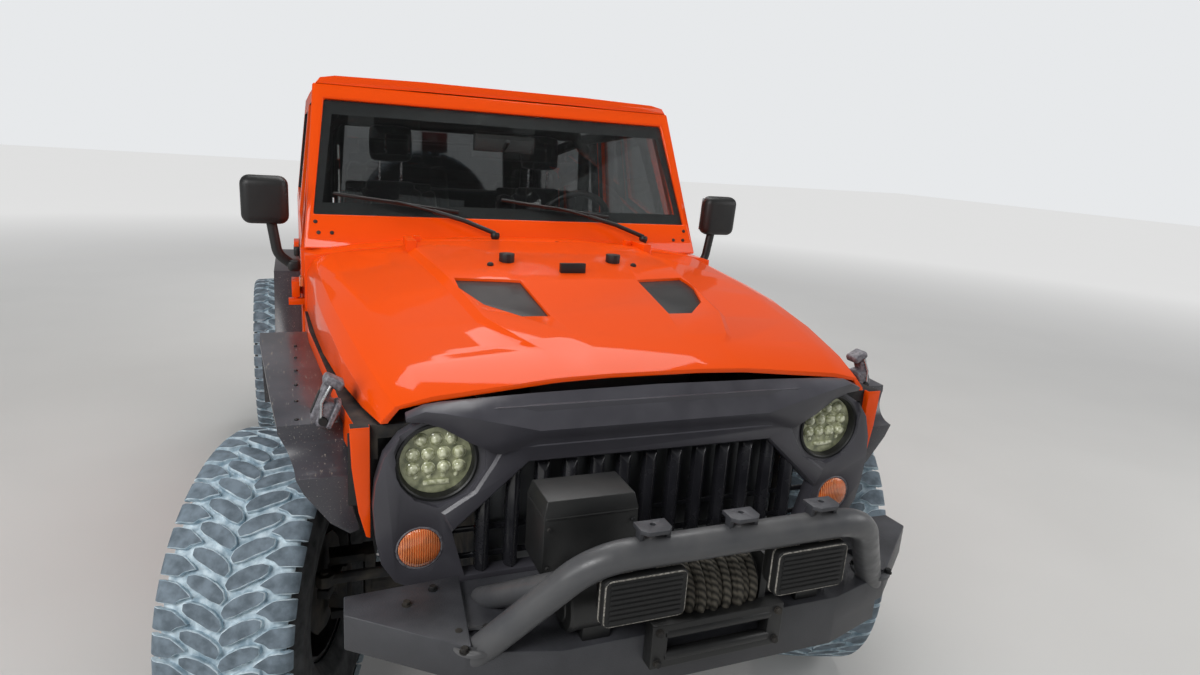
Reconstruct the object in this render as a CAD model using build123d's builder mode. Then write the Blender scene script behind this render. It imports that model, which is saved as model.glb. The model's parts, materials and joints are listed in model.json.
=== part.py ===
from build123d import *

import os
from math import cos, radians, sin, sqrt, tan

# A two-door off-road car with a hard top, wide steel flares, a bull bar and mud tyres.
# Every length is in millimetres. +Z is up, the front faces -Y and +X is the car's left.
# Numbers whose name ends in _A are distances behind the front axle.

os.makedirs("parts", exist_ok=True)

# Wheels and steering
WHEELBASE = 2424.0
TRACK_HALF = 845.0
TYRE_R = 438.0
TYRE_W = 318.0
BEAD_R = 216.0
LUG_COUNT = 20
LUG_REACH = 58.0
LUG_T = 62.0
LUG_OUT = 150.0
CARCASS_R = 419.0
SHOULDER_R = 345.0
SHOULDER_OUT = 134.0
DISH_R = 300.0
RIM_HALF = 108.0
BARREL_T = 14.0
HUB_R = 62.0
HUB_BORE_R = 20.6
HUB_IN = 62.0
DISC_T = 30.0
WINDOW_COUNT = 5
STEER_REST = -20.0
KINGPIN_X = 700.0
KINGPIN_R = 12.0
PIN_GAP = 0.5
RIM_GAP = 0.3
STUB_SIDES = 16
ARM_REACH = 130.0
TIE_RISE = 90.0
TIE_R = 16.0
AXLE_Z = sqrt(TYRE_R**2 - LUG_REACH**2)
TIE_Z = AXLE_Z + TIE_RISE

# Body shell
BODY_X = 775.0
WALL = 60.0
BELT_Z = 1285.0
SILL_LOW = 600.0
SILL_TOP = 690.0
FLOOR_LOW = 745.0
FLOOR_T = 20.0
FLOOR_Z = FLOOR_LOW + FLOOR_T
COWL_A = 606.0
COWL_BACK_A = 732.0
COWL_CROWN_Z = 1345.0
FIREWALL_A = 640.0
FIREWALL_T = 16.0
QUARTER_A = WHEELBASE - 672.0
BODY_BACK_A = WHEELBASE + 606.0
END_WALL = 30.0
GATE_HALF = 560.0
GATE_GAP = 10.0
GATE_LOW = 800.0
ARCH_LOW_HALF = 519.0
ARCH_TOP_HALF = 362.0
ARCH_TOP_Z = 965.0
WHEELHOUSE_X = 655.0

# Overall reach, which centres the car on the origin
BAR_TOP_A = -915.0
BAR_R = 30.0
SPARE_A = BODY_BACK_A + 80.0
SPARE_BACK_A = SPARE_A + TYRE_W
AXLE_Y = (-BAR_TOP_A + BAR_R - SPARE_BACK_A) / 2

# Ladder frame
RAIL_X = 380.0
RAIL_W = 70.0
RAIL_LOW = 570.0
RAIL_TOP = 690.0
RAIL_FRONT_A = -560.0
RAIL_BACK_A = BODY_BACK_A + 10.0
PUCK_R = 38.0
ROD_SIDES = 8
PIPE_SIDES = 12

# Windscreen
SCREEN_A = 728.0
SCREEN_Z = 1291.0
SCREEN_RAKE = 26.5
SCREEN_T = 50.0
SCREEN_TOP_Z = 1855.0
SCREEN_BASE_HALF = BODY_X - 10.0
LEAN_TOP_X = 712.0
SCREEN_TOP_HALF = LEAN_TOP_X + 8.0
GLASS_T = 6.0
GLASS_INSET = 9.0
GLASS_LOW = 130.0
GLASS_MARGIN = 34.0

# Doors
DOOR_A = COWL_BACK_A + 6.0
DOOR_BACK_A = QUARTER_A - 12.0
DOOR_LOW = 695.0
DOOR_TOP = BELT_Z - 2.0
DOOR_FRAME_TOP = SCREEN_TOP_Z - 12.0
DOOR_FRAME_T = 35.0
DOOR_HINGE_X = BODY_X + 20.0
DOOR_HINGE_A = COWL_BACK_A - 10.0
DOOR_HINGES_Z = (800.0, 1120.0)
GATE_HINGE_X = GATE_HALF + 30.0
GATE_HINGE_A = BODY_BACK_A + 40.0
GATE_HINGES_Z = (880.0, 1130.0)
HINGE_PIN_R = 8.0
HINGE_TALL = 60.0
HINGE_SEAT = 20.0
LEAF_RISE = 6.0

# Hard top
ROOF_EDGE_Z = SCREEN_TOP_Z - 5.0
ROOF_SHOULDER_Z = SCREEN_TOP_Z + 31.0
ROOF_Z = SCREEN_TOP_Z + 40.0
ROOF_A = 1009.0
ROOF_BACK_A = BODY_BACK_A - 20.0
TOP_WALL = 35.0
REAR_LEAN = 75.0
WINDOW_LOW = BELT_Z + 60.0
WINDOW_TOP = SCREEN_TOP_Z - 85.0
REAR_WINDOW_HALF = 520.0
PANE_T = 5.0
PANE_IN = 12.0

# Hood and fenders
HOOD_LOW = 1104.0
HOOD_T = 18.0
HOOD_HINGE_X = 400.0
HOOD_HINGE_A = COWL_A + 6.0
HOOD_HINGE_Z = 1345.0
HOOD_PIN_R = 5.0
FENDER_TOP = 1098.0
FENDER_T = 30.0
FENDER_SKIRT_Z = 1020.0
APRON_X = 400.0
APRON_T = 15.0
GRILLE_A = -532.0
GRILLE_BACK_A = -490.0
FLARE_Z = 1052.0
FLARE_T = 10.0
FLARE_X = 899.0
FLARE_BEND = 90.0
FLARE_FRONT_A = -452.0

# Lamps in the grille
LAMP_X = 520.0
LAMP_Z = 1014.0
LAMP_R = 88.0
SIGNAL_X = 558.0
SIGNAL_Z = 820.0
SIGNAL_R = 51.0
LENS_GAP = 2.0

# Front bumper, bull bar and winch
BUMPER_LOW = 620.0
BUMPER_TOP = 742.0
WING_LOW = 676.0
WING_TOP = 757.0
WING_IN = 500.0
BAR_TOP_Z = 975.0
BAR_BEND_X = 304.0
BAR_BEND_R = 130.0
BAR_FOOT_X = 500.0
BAR_FOOT_A = -770.0
BAR_FOOT_Z = 700.0
BRACE_R = 25.0
BRACE_FOOT_X = 440.0
BRACE_FOOT_A = -620.0
TAB_X = 191.0
TAB_HOLE_R = 6.0
TAB_T = 8.0
TAB_LIFT = 14.0
DRUM_A = -790.0
DRUM_Z = 812.0
DRUM_R = 58.0

# Steering wheel
WHEEL_X = 395.0
WHEEL_A = 1230.0
WHEEL_Z = 1337.0
WHEEL_R = 186.0
WHEEL_TILT = 25.0
GRIP_R = 15.0
SHAFT_R = 12.0

SIDE = Plane(origin=(0, AXLE_Y, 0), x_dir=(0, 1, 0), z_dir=(1, 0, 0))
TOP = Plane(origin=(0, AXLE_Y, 0), x_dir=(1, 0, 0), z_dir=(0, 0, 1))
FRONT = Plane(origin=(0, AXLE_Y, 0), x_dir=(1, 0, 0), z_dir=(0, -1, 0))
RAKE = radians(SCREEN_RAKE)
SCREEN = Plane(
    origin=(0, AXLE_Y + SCREEN_A, SCREEN_Z),
    x_dir=(1, 0, 0),
    z_dir=(0, -cos(RAKE), sin(RAKE)),
)
BASE = (Align.CENTER, Align.CENTER, Align.MIN)
CORNER = (Align.CENTER, Align.MIN, Align.MIN)
HOME = Location((0, -AXLE_Y, 0))


def reach(start, end):
    """The distance between two points."""
    return (Vector(*end) - Vector(*start)).length


def rod(start, end, radius, sides=ROD_SIDES, mode=Mode.ADD):
    """Adds a straight rod with a few flat sides to the part being built."""
    origin = (start[0], AXLE_Y + start[1], start[2])
    with BuildSketch(Plane(origin=origin, z_dir=Vector(*end) - Vector(*start)), mode=Mode.PRIVATE) as section:
        RegularPolygon(radius, sides, rotation=180 / sides)
    extrude(section.sketch, amount=reach(start, end), mode=mode)


def bore(start, end, radius):
    """Cuts the hole for a pin of that radius, with the pin's clearance all round."""
    rod(start, end, (radius + PIN_GAP) / cos(radians(180 / PIPE_SIDES)), PIPE_SIDES, Mode.SUBTRACT)


def faceted(rings):
    """A solid between rings of points, joined by flat triangles."""
    faces = [Face(Wire.make_polygon(rings[0])), Face(Wire.make_polygon(rings[-1]))]
    for first, second in zip(rings, rings[1:]):
        for i in range(len(first)):
            j = (i + 1) % len(first)
            faces.append(Face(Wire.make_polygon([first[i], first[j], second[j]])))
            faces.append(Face(Wire.make_polygon([first[i], second[j], second[i]])))
    return Solid(Shell(faces))


def lean(z):
    """How far out the side glass and its frame stand at a height."""
    return BODY_X - (z - BELT_Z) * (BODY_X - LEAN_TOP_X) / (ROOF_EDGE_Z - BELT_Z)


def mirrored(points):
    """A left half outline, listed from one end to the other, with its right half added."""
    return [*points, *((-x, z) for x, z in reversed(points))]


# Ladder frame
CROSSMEMBERS = (
    # middle_a, wide, low, high
    (-440.0, 70.0, 600.0, RAIL_TOP),
    (480.0, 80.0, 572.0, 620.0),
    (1080.0, 90.0, 572.0, 590.0),
    (WHEELBASE - 604.0, 70.0, 600.0, 680.0),
    (WHEELBASE - 264.0, 60.0, 600.0, 680.0),
    (RAIL_BACK_A - 50.0, 70.0, 590.0, RAIL_TOP),
)
PUCKS_A = (720.0, 1450.0, WHEELBASE - 304.0, RAIL_BACK_A - 110.0)
with BuildPart(TOP) as frame:
    with Locations((RAIL_X, (RAIL_FRONT_A + RAIL_BACK_A) / 2, (RAIL_LOW + RAIL_TOP) / 2)):
        Box(RAIL_W, RAIL_BACK_A - RAIL_FRONT_A, RAIL_TOP - RAIL_LOW)
    mirror(about=Plane.YZ)
    for middle_a, wide, low, high in CROSSMEMBERS:
        with Locations((0, middle_a, (low + high) / 2)):
            Box(2 * RAIL_X, wide, high - low)
    for puck_a in PUCKS_A:
        for x in (-RAIL_X, RAIL_X):
            rod((x, puck_a, RAIL_TOP), (x, puck_a, FLOOR_LOW), PUCK_R)
frame.part.label = "frame"
export_step(frame.part, "parts/frame.step")

# Floor and wheelhouses
ARCH = (
    (WHEELBASE - ARCH_LOW_HALF, SILL_TOP),
    (WHEELBASE - ARCH_TOP_HALF, ARCH_TOP_Z),
    (WHEELBASE + ARCH_TOP_HALF, ARCH_TOP_Z),
    (WHEELBASE + ARCH_LOW_HALF, SILL_TOP),
)
HOUSE_T = 20.0
HOUSE = (
    (WHEELBASE - ARCH_LOW_HALF - HOUSE_T, SILL_TOP),
    (WHEELBASE - ARCH_TOP_HALF - HOUSE_T / 2, ARCH_TOP_Z + HOUSE_T),
    (WHEELBASE + ARCH_TOP_HALF + HOUSE_T / 2, ARCH_TOP_Z + HOUSE_T),
    (WHEELBASE + ARCH_LOW_HALF + HOUSE_T, SILL_TOP),
)
with BuildPart(TOP) as floor_pan:
    with Locations((0, (COWL_A + BODY_BACK_A - END_WALL) / 2, FLOOR_LOW)):
        Box(2 * (BODY_X - WALL), BODY_BACK_A - END_WALL - COWL_A, FLOOR_T, align=BASE)
    for side in (-1, 1):
        with BuildSketch(SIDE.offset(side * (WHEELHOUSE_X - HOUSE_T))):
            Polygon(*HOUSE, align=None)
        extrude(amount=side * (BODY_X - WALL - WHEELHOUSE_X + HOUSE_T))
        with BuildSketch(SIDE.offset(side * WHEELHOUSE_X)):
            Polygon(*ARCH, align=None)
        extrude(amount=side * 200, mode=Mode.SUBTRACT)
floor_pan.part.label = "floor_pan"
export_step(floor_pan.part, "parts/floor_pan.step")

# Rear quarters and sills
with BuildPart(TOP) as body_sides:
    with BuildSketch(SIDE.offset(BODY_X - WALL)):
        Polygon(
            (COWL_A, SILL_LOW),
            (COWL_A, SILL_TOP),
            (QUARTER_A, SILL_TOP),
            (QUARTER_A, BELT_Z),
            (BODY_BACK_A, BELT_Z),
            (BODY_BACK_A, SILL_TOP),
            *reversed(ARCH),
            (WHEELBASE - ARCH_LOW_HALF, SILL_LOW),
            align=None,
        )
    extrude(amount=WALL)
    corner_x = GATE_HALF + GATE_GAP
    with Locations((corner_x, BODY_BACK_A - END_WALL, SILL_TOP)):
        Box(BODY_X - WALL - corner_x, END_WALL, BELT_Z - SILL_TOP, align=(Align.MIN, Align.MIN, Align.MIN))
    mirror(about=Plane.YZ)
    with Locations((0, BODY_BACK_A - END_WALL, SILL_TOP)):
        Box(2 * BODY_X - 2 * WALL, END_WALL, GATE_LOW - SILL_TOP - GATE_GAP, align=CORNER)
with BuildPart(TOP) as gate_hinges:
    for hinge_z in GATE_HINGES_Z:
        with Locations((-GATE_HINGE_X, BODY_BACK_A - 5, hinge_z - HINGE_SEAT)):
            Box(36, GATE_HINGE_A + 14 - BODY_BACK_A + 5, HINGE_SEAT, align=CORNER)
        start = (-GATE_HINGE_X, GATE_HINGE_A, hinge_z - 5)
        rod(start, (-GATE_HINGE_X, GATE_HINGE_A, hinge_z + HINGE_TALL), HINGE_PIN_R, PIPE_SIDES)
body_sides.part += gate_hinges.part
body_sides.part.label = "body_sides"
export_step(body_sides.part, "parts/body_sides.step")

# Cowl and firewall
SHELF_Z = BELT_Z - 40.0
COWL_ARCH = (
    # the crown of the cowl from its left corner to the middle, as x and drop below the crown
    (SCREEN_BASE_HALF, COWL_CROWN_Z - BELT_Z),
    (600.0, 36.0),
    (400.0, 16.0),
    (200.0, 4.0),
)
cowl_top = [(x, COWL_CROWN_Z - drop) for x, drop in COWL_ARCH]
with BuildPart(TOP) as cowl:
    with BuildSketch(FRONT.offset(-COWL_A)):
        Polygon(*mirrored([(BODY_X, SILL_TOP), *cowl_top]), align=None)
        Polygon(*mirrored([(BODY_X - WALL, SILL_TOP), (BODY_X - WALL, SHELF_Z)]), align=None, mode=Mode.SUBTRACT)
    extrude(amount=-(COWL_BACK_A - COWL_A))
    with BuildSketch(FRONT.offset(-COWL_BACK_A)):
        Polygon(*mirrored([(690, SHELF_Z), (690, BELT_Z + 10), *cowl_top[1:]]), align=None)
    extrude(amount=-60)
    with BuildSketch(SCREEN):
        Rectangle(1700, 900)
    extrude(amount=-400, mode=Mode.SUBTRACT)
    with Locations((0, FIREWALL_A, FLOOR_Z)):
        Box(2 * (BODY_X - WALL), FIREWALL_T, SHELF_Z + 10 - FLOOR_Z, align=CORNER)
with BuildPart(TOP) as cowl_hinges:
    for side in (-1, 1):
        for hinge_z in DOOR_HINGES_Z:
            with Locations((side * (BODY_X - 20), DOOR_HINGE_A - 22, hinge_z - HINGE_SEAT)):
                Box(64, 32, HINGE_SEAT, align=(Align.MIN if side > 0 else Align.MAX, Align.MIN, Align.MIN))
            start = (side * DOOR_HINGE_X, DOOR_HINGE_A, hinge_z - 5)
            rod(start, (side * DOOR_HINGE_X, DOOR_HINGE_A, hinge_z + HINGE_TALL), HINGE_PIN_R, PIPE_SIDES)
    for side in (-1, 1):
        with Locations((side * HOOD_HINGE_X, COWL_A, HOOD_HINGE_Z - 50)):
            Box(22, 32, 62, align=CORNER)
        start = (side * HOOD_HINGE_X, HOOD_HINGE_A, HOOD_HINGE_Z)
        end = (side * (HOOD_HINGE_X + 48), HOOD_HINGE_A, HOOD_HINGE_Z)
        rod(start, end, HOOD_PIN_R, PIPE_SIDES)
cowl.part += cowl_hinges.part
cowl.part.label = "cowl"
export_step(cowl.part, "parts/cowl.step")

# Front fenders: a top shelf with a skirt, an inner apron and the strip beside the grille
FENDER_EDGE = ((690.0, -470.0), (708.0, -329.0), (733.0, -10.0), (762.0, 343.0), (770.0, COWL_A))
with BuildPart(TOP) as front_fenders:
    with BuildSketch(TOP.offset(FENDER_SKIRT_Z)):
        Polygon((APRON_X, GRILLE_BACK_A), (640, GRILLE_BACK_A), *FENDER_EDGE, (APRON_X, COWL_A), align=None)
    extrude(amount=FENDER_TOP - FENDER_SKIRT_Z)
    with BuildSketch(TOP.offset(FENDER_SKIRT_Z)):
        Polygon(
            (APRON_X - 1, GRILLE_BACK_A - 1),
            (640, GRILLE_BACK_A - 1),
            (664, -452),
            *((x - 24, a) for x, a in FENDER_EDGE[1:]),
            (APRON_X - 1, COWL_A),
            align=None,
        )
    extrude(amount=FENDER_TOP - FENDER_SKIRT_Z - FENDER_T, mode=Mode.SUBTRACT)
    with Locations((APRON_X, FENDER_EDGE[0][1], RAIL_TOP)):
        Box(APRON_T, COWL_A - FENDER_EDGE[0][1], FENDER_TOP - RAIL_TOP, align=(Align.MIN, Align.MIN, Align.MIN))
    with BuildSketch(FRONT.offset(-FENDER_EDGE[0][1])):
        Polygon((658, FENDER_TOP), (698, FENDER_TOP), (694, 1000), (682, 905), (667, 846), (658, 842), align=None)
    extrude(amount=30)
    mirror(about=Plane.YZ)
front_fenders.part.label = "front_fenders"
export_step(front_fenders.part, "parts/front_fenders.step")

# Flares: a bent sheet over each front wheel, and an arched one over each rear wheel
FLARE_PLAN = (
    # outer edge from the rear to the front, then back along the fender: x, a
    (FLARE_X + 4, 478.0),
    (FLARE_X, 343.0),
    (FLARE_X - 38, -136.0),
    (FLARE_X - 61, -383.0),
    (FLARE_X - 69, FLARE_FRONT_A - 20),
    (650.0, FLARE_FRONT_A - 20),
    (650.0, -430.0),
    *FENDER_EDGE[1:4],
    (767.0, 478.0),
)
FLARE_FACE = (
    # outline seen from the front: x, z
    (BODY_X - 8, FLARE_Z + 60),
    (FLARE_X + 20, FLARE_Z + 60),
    (FLARE_X - 56, FLARE_Z - 2),
    (FLARE_X - 78, 1010.0),
    (FLARE_X - 109, 937.0),
    (FLARE_X - 162, 862.0),
    (FLARE_X - 201, 833.0),
    (677.0, 840.0),
    (693.0, 905.0),
    (699.0, FLARE_Z),
    (640.0, FLARE_Z + 4),
    (640.0, FLARE_Z + 60),
)
with BuildPart(TOP) as flares:
    with BuildSketch(SIDE.offset(630)):
        with BuildLine():
            top_z = FLARE_Z + FLARE_T
            bend_a = FLARE_FRONT_A + FLARE_BEND
            inner = FLARE_BEND - FLARE_T
            Polyline((bend_a, top_z), (470, top_z), (618, 790), (604, 784), (462, FLARE_Z), (bend_a, FLARE_Z))
            RadiusArc((bend_a, FLARE_Z), (FLARE_FRONT_A + FLARE_T, top_z - FLARE_BEND), inner)
            Polyline(
                (FLARE_FRONT_A + FLARE_T, top_z - FLARE_BEND),
                (FLARE_FRONT_A + FLARE_T, 820),
                (FLARE_FRONT_A, 820),
                (FLARE_FRONT_A, top_z - FLARE_BEND),
            )
            RadiusArc((FLARE_FRONT_A, top_z - FLARE_BEND), (bend_a, top_z), -FLARE_BEND)
        make_face()
    extrude(amount=FLARE_X + 30 - 630)
    with BuildSketch(TOP.offset(700)):
        Polygon(*FLARE_PLAN, (BODY_X - 8, 478.0), (BODY_X - 8, 700.0), (FLARE_X + 4, 700.0), align=None)
    extrude(amount=500, mode=Mode.INTERSECT)
    with BuildSketch(FRONT.offset(-FLARE_FRONT_A + 20)):
        Polygon((640, FLARE_Z), (960, FLARE_Z), (960, 780), (640, 780), align=None)
        Polygon(*FLARE_FACE, align=None, mode=Mode.SUBTRACT)
    extrude(amount=-FLARE_BEND - 20, mode=Mode.SUBTRACT)
    with BuildSketch(SIDE.offset(BODY_X)):
        Polygon(
            (WHEELBASE - ARCH_LOW_HALF - 22, SILL_TOP),
            (WHEELBASE - ARCH_TOP_HALF - 12, ARCH_TOP_Z + 18),
            (WHEELBASE + ARCH_TOP_HALF + 12, ARCH_TOP_Z + 18),
            (WHEELBASE + ARCH_LOW_HALF + 22, SILL_TOP),
            *reversed(ARCH),
            align=None,
        )
    extrude(amount=FLARE_X - BODY_X)
    mirror(about=Plane.YZ)
    with Locations(HOME):
        add(front_fenders.part, mode=Mode.SUBTRACT)
        add(cowl.part, mode=Mode.SUBTRACT)
flares.part.label = "flares"
export_step(flares.part, "parts/flares.step")

# Hood: a skin with a raised middle and two vents, on two hinge arms
HOOD_SECTIONS = (
    # a, half, shoulder_z, top_x, top_z, foot_x, foot_z, dome_x, dome_z, crown_z
    (-500.0, 636.0, 1112.0, 530.0, 1158.0, 262.0, 1184.0, 240.0, 1185.5, 1190.0),
    (-390.0, 664.0, 1131.0, 561.0, 1190.0, 262.0, 1217.0, 240.0, 1218.5, 1226.0),
    (-340.0, 673.0, 1140.0, 570.0, 1200.0, 305.0, 1222.0, 283.0, 1234.0, 1240.0),
    (-190.0, 701.0, 1166.0, 592.0, 1227.0, 368.0, 1243.0, 348.0, 1257.0, 1263.0),
    (60.0, 730.0, 1201.0, 635.0, 1258.0, 400.0, 1282.0, 378.0, 1298.0, 1311.0),
    (240.0, 743.0, 1214.0, 652.0, 1275.0, 424.0, 1302.0, 401.0, 1319.0, 1337.0),
    (600.0, 762.0, 1235.0, 680.0, 1298.0, 457.0, 1322.0, 435.0, 1337.0, 1350.0),
)
VENT = ((187.0, 50.0), (369.0, 106.0), (372.0, 20.0), (330.0, -110.0), (250.0, -200.0), (174.0, -207.0))
VENT_DEPTH = 4.0
VENT_T = 6.0


def hood_outline(row, inset, low):
    """The half outline of the hood at one section, from its lower edge to the middle."""
    _, half, shoulder_z, top_x, top_z, foot_x, foot_z, dome_x, dome_z, crown_z = row
    knee_x = top_x + (half - top_x) * 0.72
    knee_z = shoulder_z + (top_z - shoulder_z) * 0.62
    return [
        (half - inset, low),
        (half - 4 - inset, shoulder_z - inset * 0.5),
        (knee_x - inset * 0.8, knee_z - inset * 0.7),
        (top_x - inset * 0.5, top_z - inset),
        (foot_x - inset * 0.2, foot_z - inset),
        (dome_x - inset * 0.2, dome_z - inset),
        (dome_x * 0.5, crown_z - (crown_z - dome_z) * 0.15 - inset),
    ]


with BuildPart(TOP) as hood_core:
    for row in HOOD_SECTIONS:
        past = 30 if row is HOOD_SECTIONS[0] else -30 if row is HOOD_SECTIONS[-1] else 0
        with BuildSketch(FRONT.offset(-row[0] + past)):
            Polygon(*mirrored(hood_outline(row, HOOD_T, HOOD_LOW - 10)), align=None)
    loft(ruled=True)
with BuildPart(TOP) as hood:
    for row in HOOD_SECTIONS:
        with BuildSketch(FRONT.offset(-row[0])):
            Polygon(*mirrored(hood_outline(row, 0, HOOD_LOW)), align=None)
    loft(ruled=True)
    with Locations(HOME):
        add(hood_core.part, mode=Mode.SUBTRACT)
    with BuildSketch(TOP.offset(HOOD_LOW)):
        Polygon(*VENT, align=None)
        Polygon(*((-x, a) for x, a in VENT), align=None)
    extrude(amount=300, mode=Mode.SUBTRACT)
with BuildPart(TOP) as hood_arms:
    for side in (-1, 1):
        with Locations((side * (HOOD_HINGE_X + 33), HOOD_HINGE_A - 112, HOOD_HINGE_Z - 11)):
            Box(30, 120, 22, align=CORNER)
        with Locations((side * (HOOD_HINGE_X + 33), HOOD_HINGE_A - 112, HOOD_HINGE_Z - 34)):
            Box(30, 80, 30, align=CORNER)
        start = (side * HOOD_HINGE_X, HOOD_HINGE_A, HOOD_HINGE_Z)
        end = (side * (HOOD_HINGE_X + 80), HOOD_HINGE_A, HOOD_HINGE_Z)
        bore(start, end, HOOD_PIN_R)
hood.part += hood_arms.part
hood.part.label = "hood"
export_step(hood.part, "parts/hood.step")

# Hood furniture: two rubber buffers, a loop and the inserts of the vents
BUFFERS = ((180.0, 234.0, 1318.0), (-180.0, 234.0, 1318.0))
with BuildPart(TOP) as vent_inserts:
    with BuildSketch(TOP.offset(HOOD_LOW)):
        Polygon(*VENT, align=None)
        Polygon(*((-x, a) for x, a in VENT), align=None)
    extrude(amount=300)
    with Locations(HOME * Location((0, 0, VENT_DEPTH + VENT_T))):
        add(hood_core.part, mode=Mode.INTERSECT)
    with Locations(HOME * Location((0, 0, VENT_DEPTH))):
        add(hood_core.part, mode=Mode.SUBTRACT)
with BuildPart(TOP) as hood_trim:
    for x, a, z in BUFFERS:
        rod((x, a, z), (x, a, z + 40), 24, PIPE_SIDES)
    with Locations((0, 123, 1306)):
        Box(80, 18, 40, align=BASE)
    with Locations(HOME):
        add(hood.part, mode=Mode.SUBTRACT)
    with Locations(HOME):
        add(vent_inserts.part)
hood_trim.part.label = "hood_trim"
export_step(hood_trim.part, "parts/hood_trim.step")

# Grille: a plate with a brow over the lamps and raised cheeks beside the slats
GRILLE_SHAPE = (
    (505.0, 1134.0), (560.0, 1106.0), (600.0, 1082.0), (632.0, 1040.0), (650.0, 980.0),
    (655.0, 925.0), (650.0, 850.0), (639.0, 793.0), (610.0, 745.0), (557.0, 715.0),
)
OPENING = ((318.0, 1001.0), (488.0, 850.0), (457.0, 735.0))
RECESS = (
    (590.0, 1110.0), (612.0, 1051.0), (603.0, 987.0), (570.0, 935.0), (520.0, 912.0),
    (455.0, 935.0), (415.0, 990.0), (415.0, 1060.0), (480.0, 1110.0),
)
CHEEK = (
    (318.0, 1001.0), (488.0, 850.0), (513.0, 900.0), (440.0, 945.0), (402.0, 1005.0), (380.0, 1046.0),
    (298.0, 1046.0),
)
CHEEK_RISE = 8.0
RECESS_DEPTH = 12.0
BROW_BACK_A = -508.0
BROW = (
    # x, back_a, top_z, crease_a, crease_z, middle_a, middle_z, low_a, low_z
    (0.0, BROW_BACK_A, 1160.0, -556.0, 1083.0, -546.0, 1062.0, -536.0, 1040.0),
    (301.0, BROW_BACK_A, 1156.0, -556.0, 1083.0, -546.0, 1062.0, -536.0, 1040.0),
    (390.0, BROW_BACK_A, 1153.0, -556.0, 1107.0, -552.0, 1068.0, -546.0, 1031.0),
    (454.0, BROW_BACK_A, 1151.0, -555.0, 1123.0, -549.0, 1092.0, -542.0, 1062.0),
    (513.0, BROW_BACK_A, 1149.0, -552.0, 1137.0, -546.0, 1118.0, -538.0, 1099.0),
    (551.0, BROW_BACK_A - 4, 1146.0, -546.0, 1141.0, -542.0, 1128.0, -537.0, 1113.0),
    (588.0, BROW_BACK_A - 4, 1131.0, -540.0, 1127.0, -538.0, 1122.0, -536.0, 1117.0),
)
LAMP_SIDES = 24
SIGNAL_SIDES = 16
brow_rings = []
for x, back_a, top_z, crease_a, crease_z, middle_a, middle_z, low_a, low_z in BROW:
    corners = ((back_a, top_z), (crease_a, crease_z), (middle_a, middle_z), (low_a, low_z), (back_a - 6, low_z))
    brow_rings.append([(x, AXLE_Y + a, z) for a, z in corners])
brow = faceted(brow_rings)
with BuildPart(TOP) as grille:
    with BuildSketch(FRONT.offset(-GRILLE_BACK_A)):
        Polygon(*mirrored(GRILLE_SHAPE), align=None)
    extrude(amount=GRILLE_BACK_A - GRILLE_A)
    with Locations((0, BROW_BACK_A + 3, FENDER_TOP)):
        Box(1400, 30, 100, align=CORNER, mode=Mode.SUBTRACT)
    with BuildSketch(FRONT.offset(-GRILLE_A)):
        Polygon(*mirrored(CHEEK), align=None)
    extrude(amount=CHEEK_RISE, taper=35)
    with BuildSketch(FRONT.offset(-GRILLE_A - RECESS_DEPTH)):
        Polygon(*RECESS, align=None)
        Polygon(*((-x, z) for x, z in RECESS), align=None)
    extrude(amount=RECESS_DEPTH, mode=Mode.SUBTRACT)
    with BuildSketch(FRONT.offset(-GRILLE_BACK_A)):
        Polygon(*mirrored(OPENING), align=None)
        with Locations((LAMP_X, LAMP_Z), (-LAMP_X, LAMP_Z)):
            RegularPolygon(LAMP_R + LENS_GAP, LAMP_SIDES)
        with Locations((SIGNAL_X, SIGNAL_Z), (-SIGNAL_X, SIGNAL_Z)):
            RegularPolygon(SIGNAL_R + LENS_GAP, SIGNAL_SIDES)
    extrude(amount=GRILLE_BACK_A - GRILLE_A, mode=Mode.SUBTRACT)
grille.part += brow
grille.part += mirror(brow, about=Plane.YZ)
grille.part.label = "grille"
export_step(grille.part, "parts/grille.step")

SLAT_COUNT = 13
SLAT_PITCH = 69.0
SLAT_W = 30.0
SLAT_TIP_A = -527.0
STRIPS = (
    # z, long
    (752.0, 960.0),
    (820.0, 1000.0),
)
with BuildPart(TOP) as grille_slats:
    with BuildSketch(TOP.offset(OPENING[-1][1])):
        with GridLocations(SLAT_PITCH, 1, SLAT_COUNT, 1):
            Polygon(
                (-SLAT_W / 2, GRILLE_BACK_A),
                (-SLAT_W / 2, GRILLE_BACK_A - 24),
                (0, SLAT_TIP_A),
                (SLAT_W / 2, GRILLE_BACK_A - 24),
                (SLAT_W / 2, GRILLE_BACK_A),
                align=None,
            )
    extrude(amount=OPENING[0][1] - OPENING[-1][1])
    with BuildSketch(FRONT.offset(-GRILLE_BACK_A)):
        Polygon(*mirrored(OPENING), align=None)
    extrude(amount=60, mode=Mode.INTERSECT)
    with BuildSketch(SIDE.offset(-OPENING[0][0])):
        Polygon((-545, 950), (-545, 1010), (-494, 1010), align=None)
    extrude(amount=2 * OPENING[0][0], mode=Mode.SUBTRACT)
    for strip_z, strip_long in STRIPS:
        with Locations((0, GRILLE_BACK_A + 4, strip_z)):
            Box(strip_long, 8, 14, align=BASE)
grille_slats.part.label = "grille_slats"
export_step(grille_slats.part, "parts/grille_slats.step")

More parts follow.
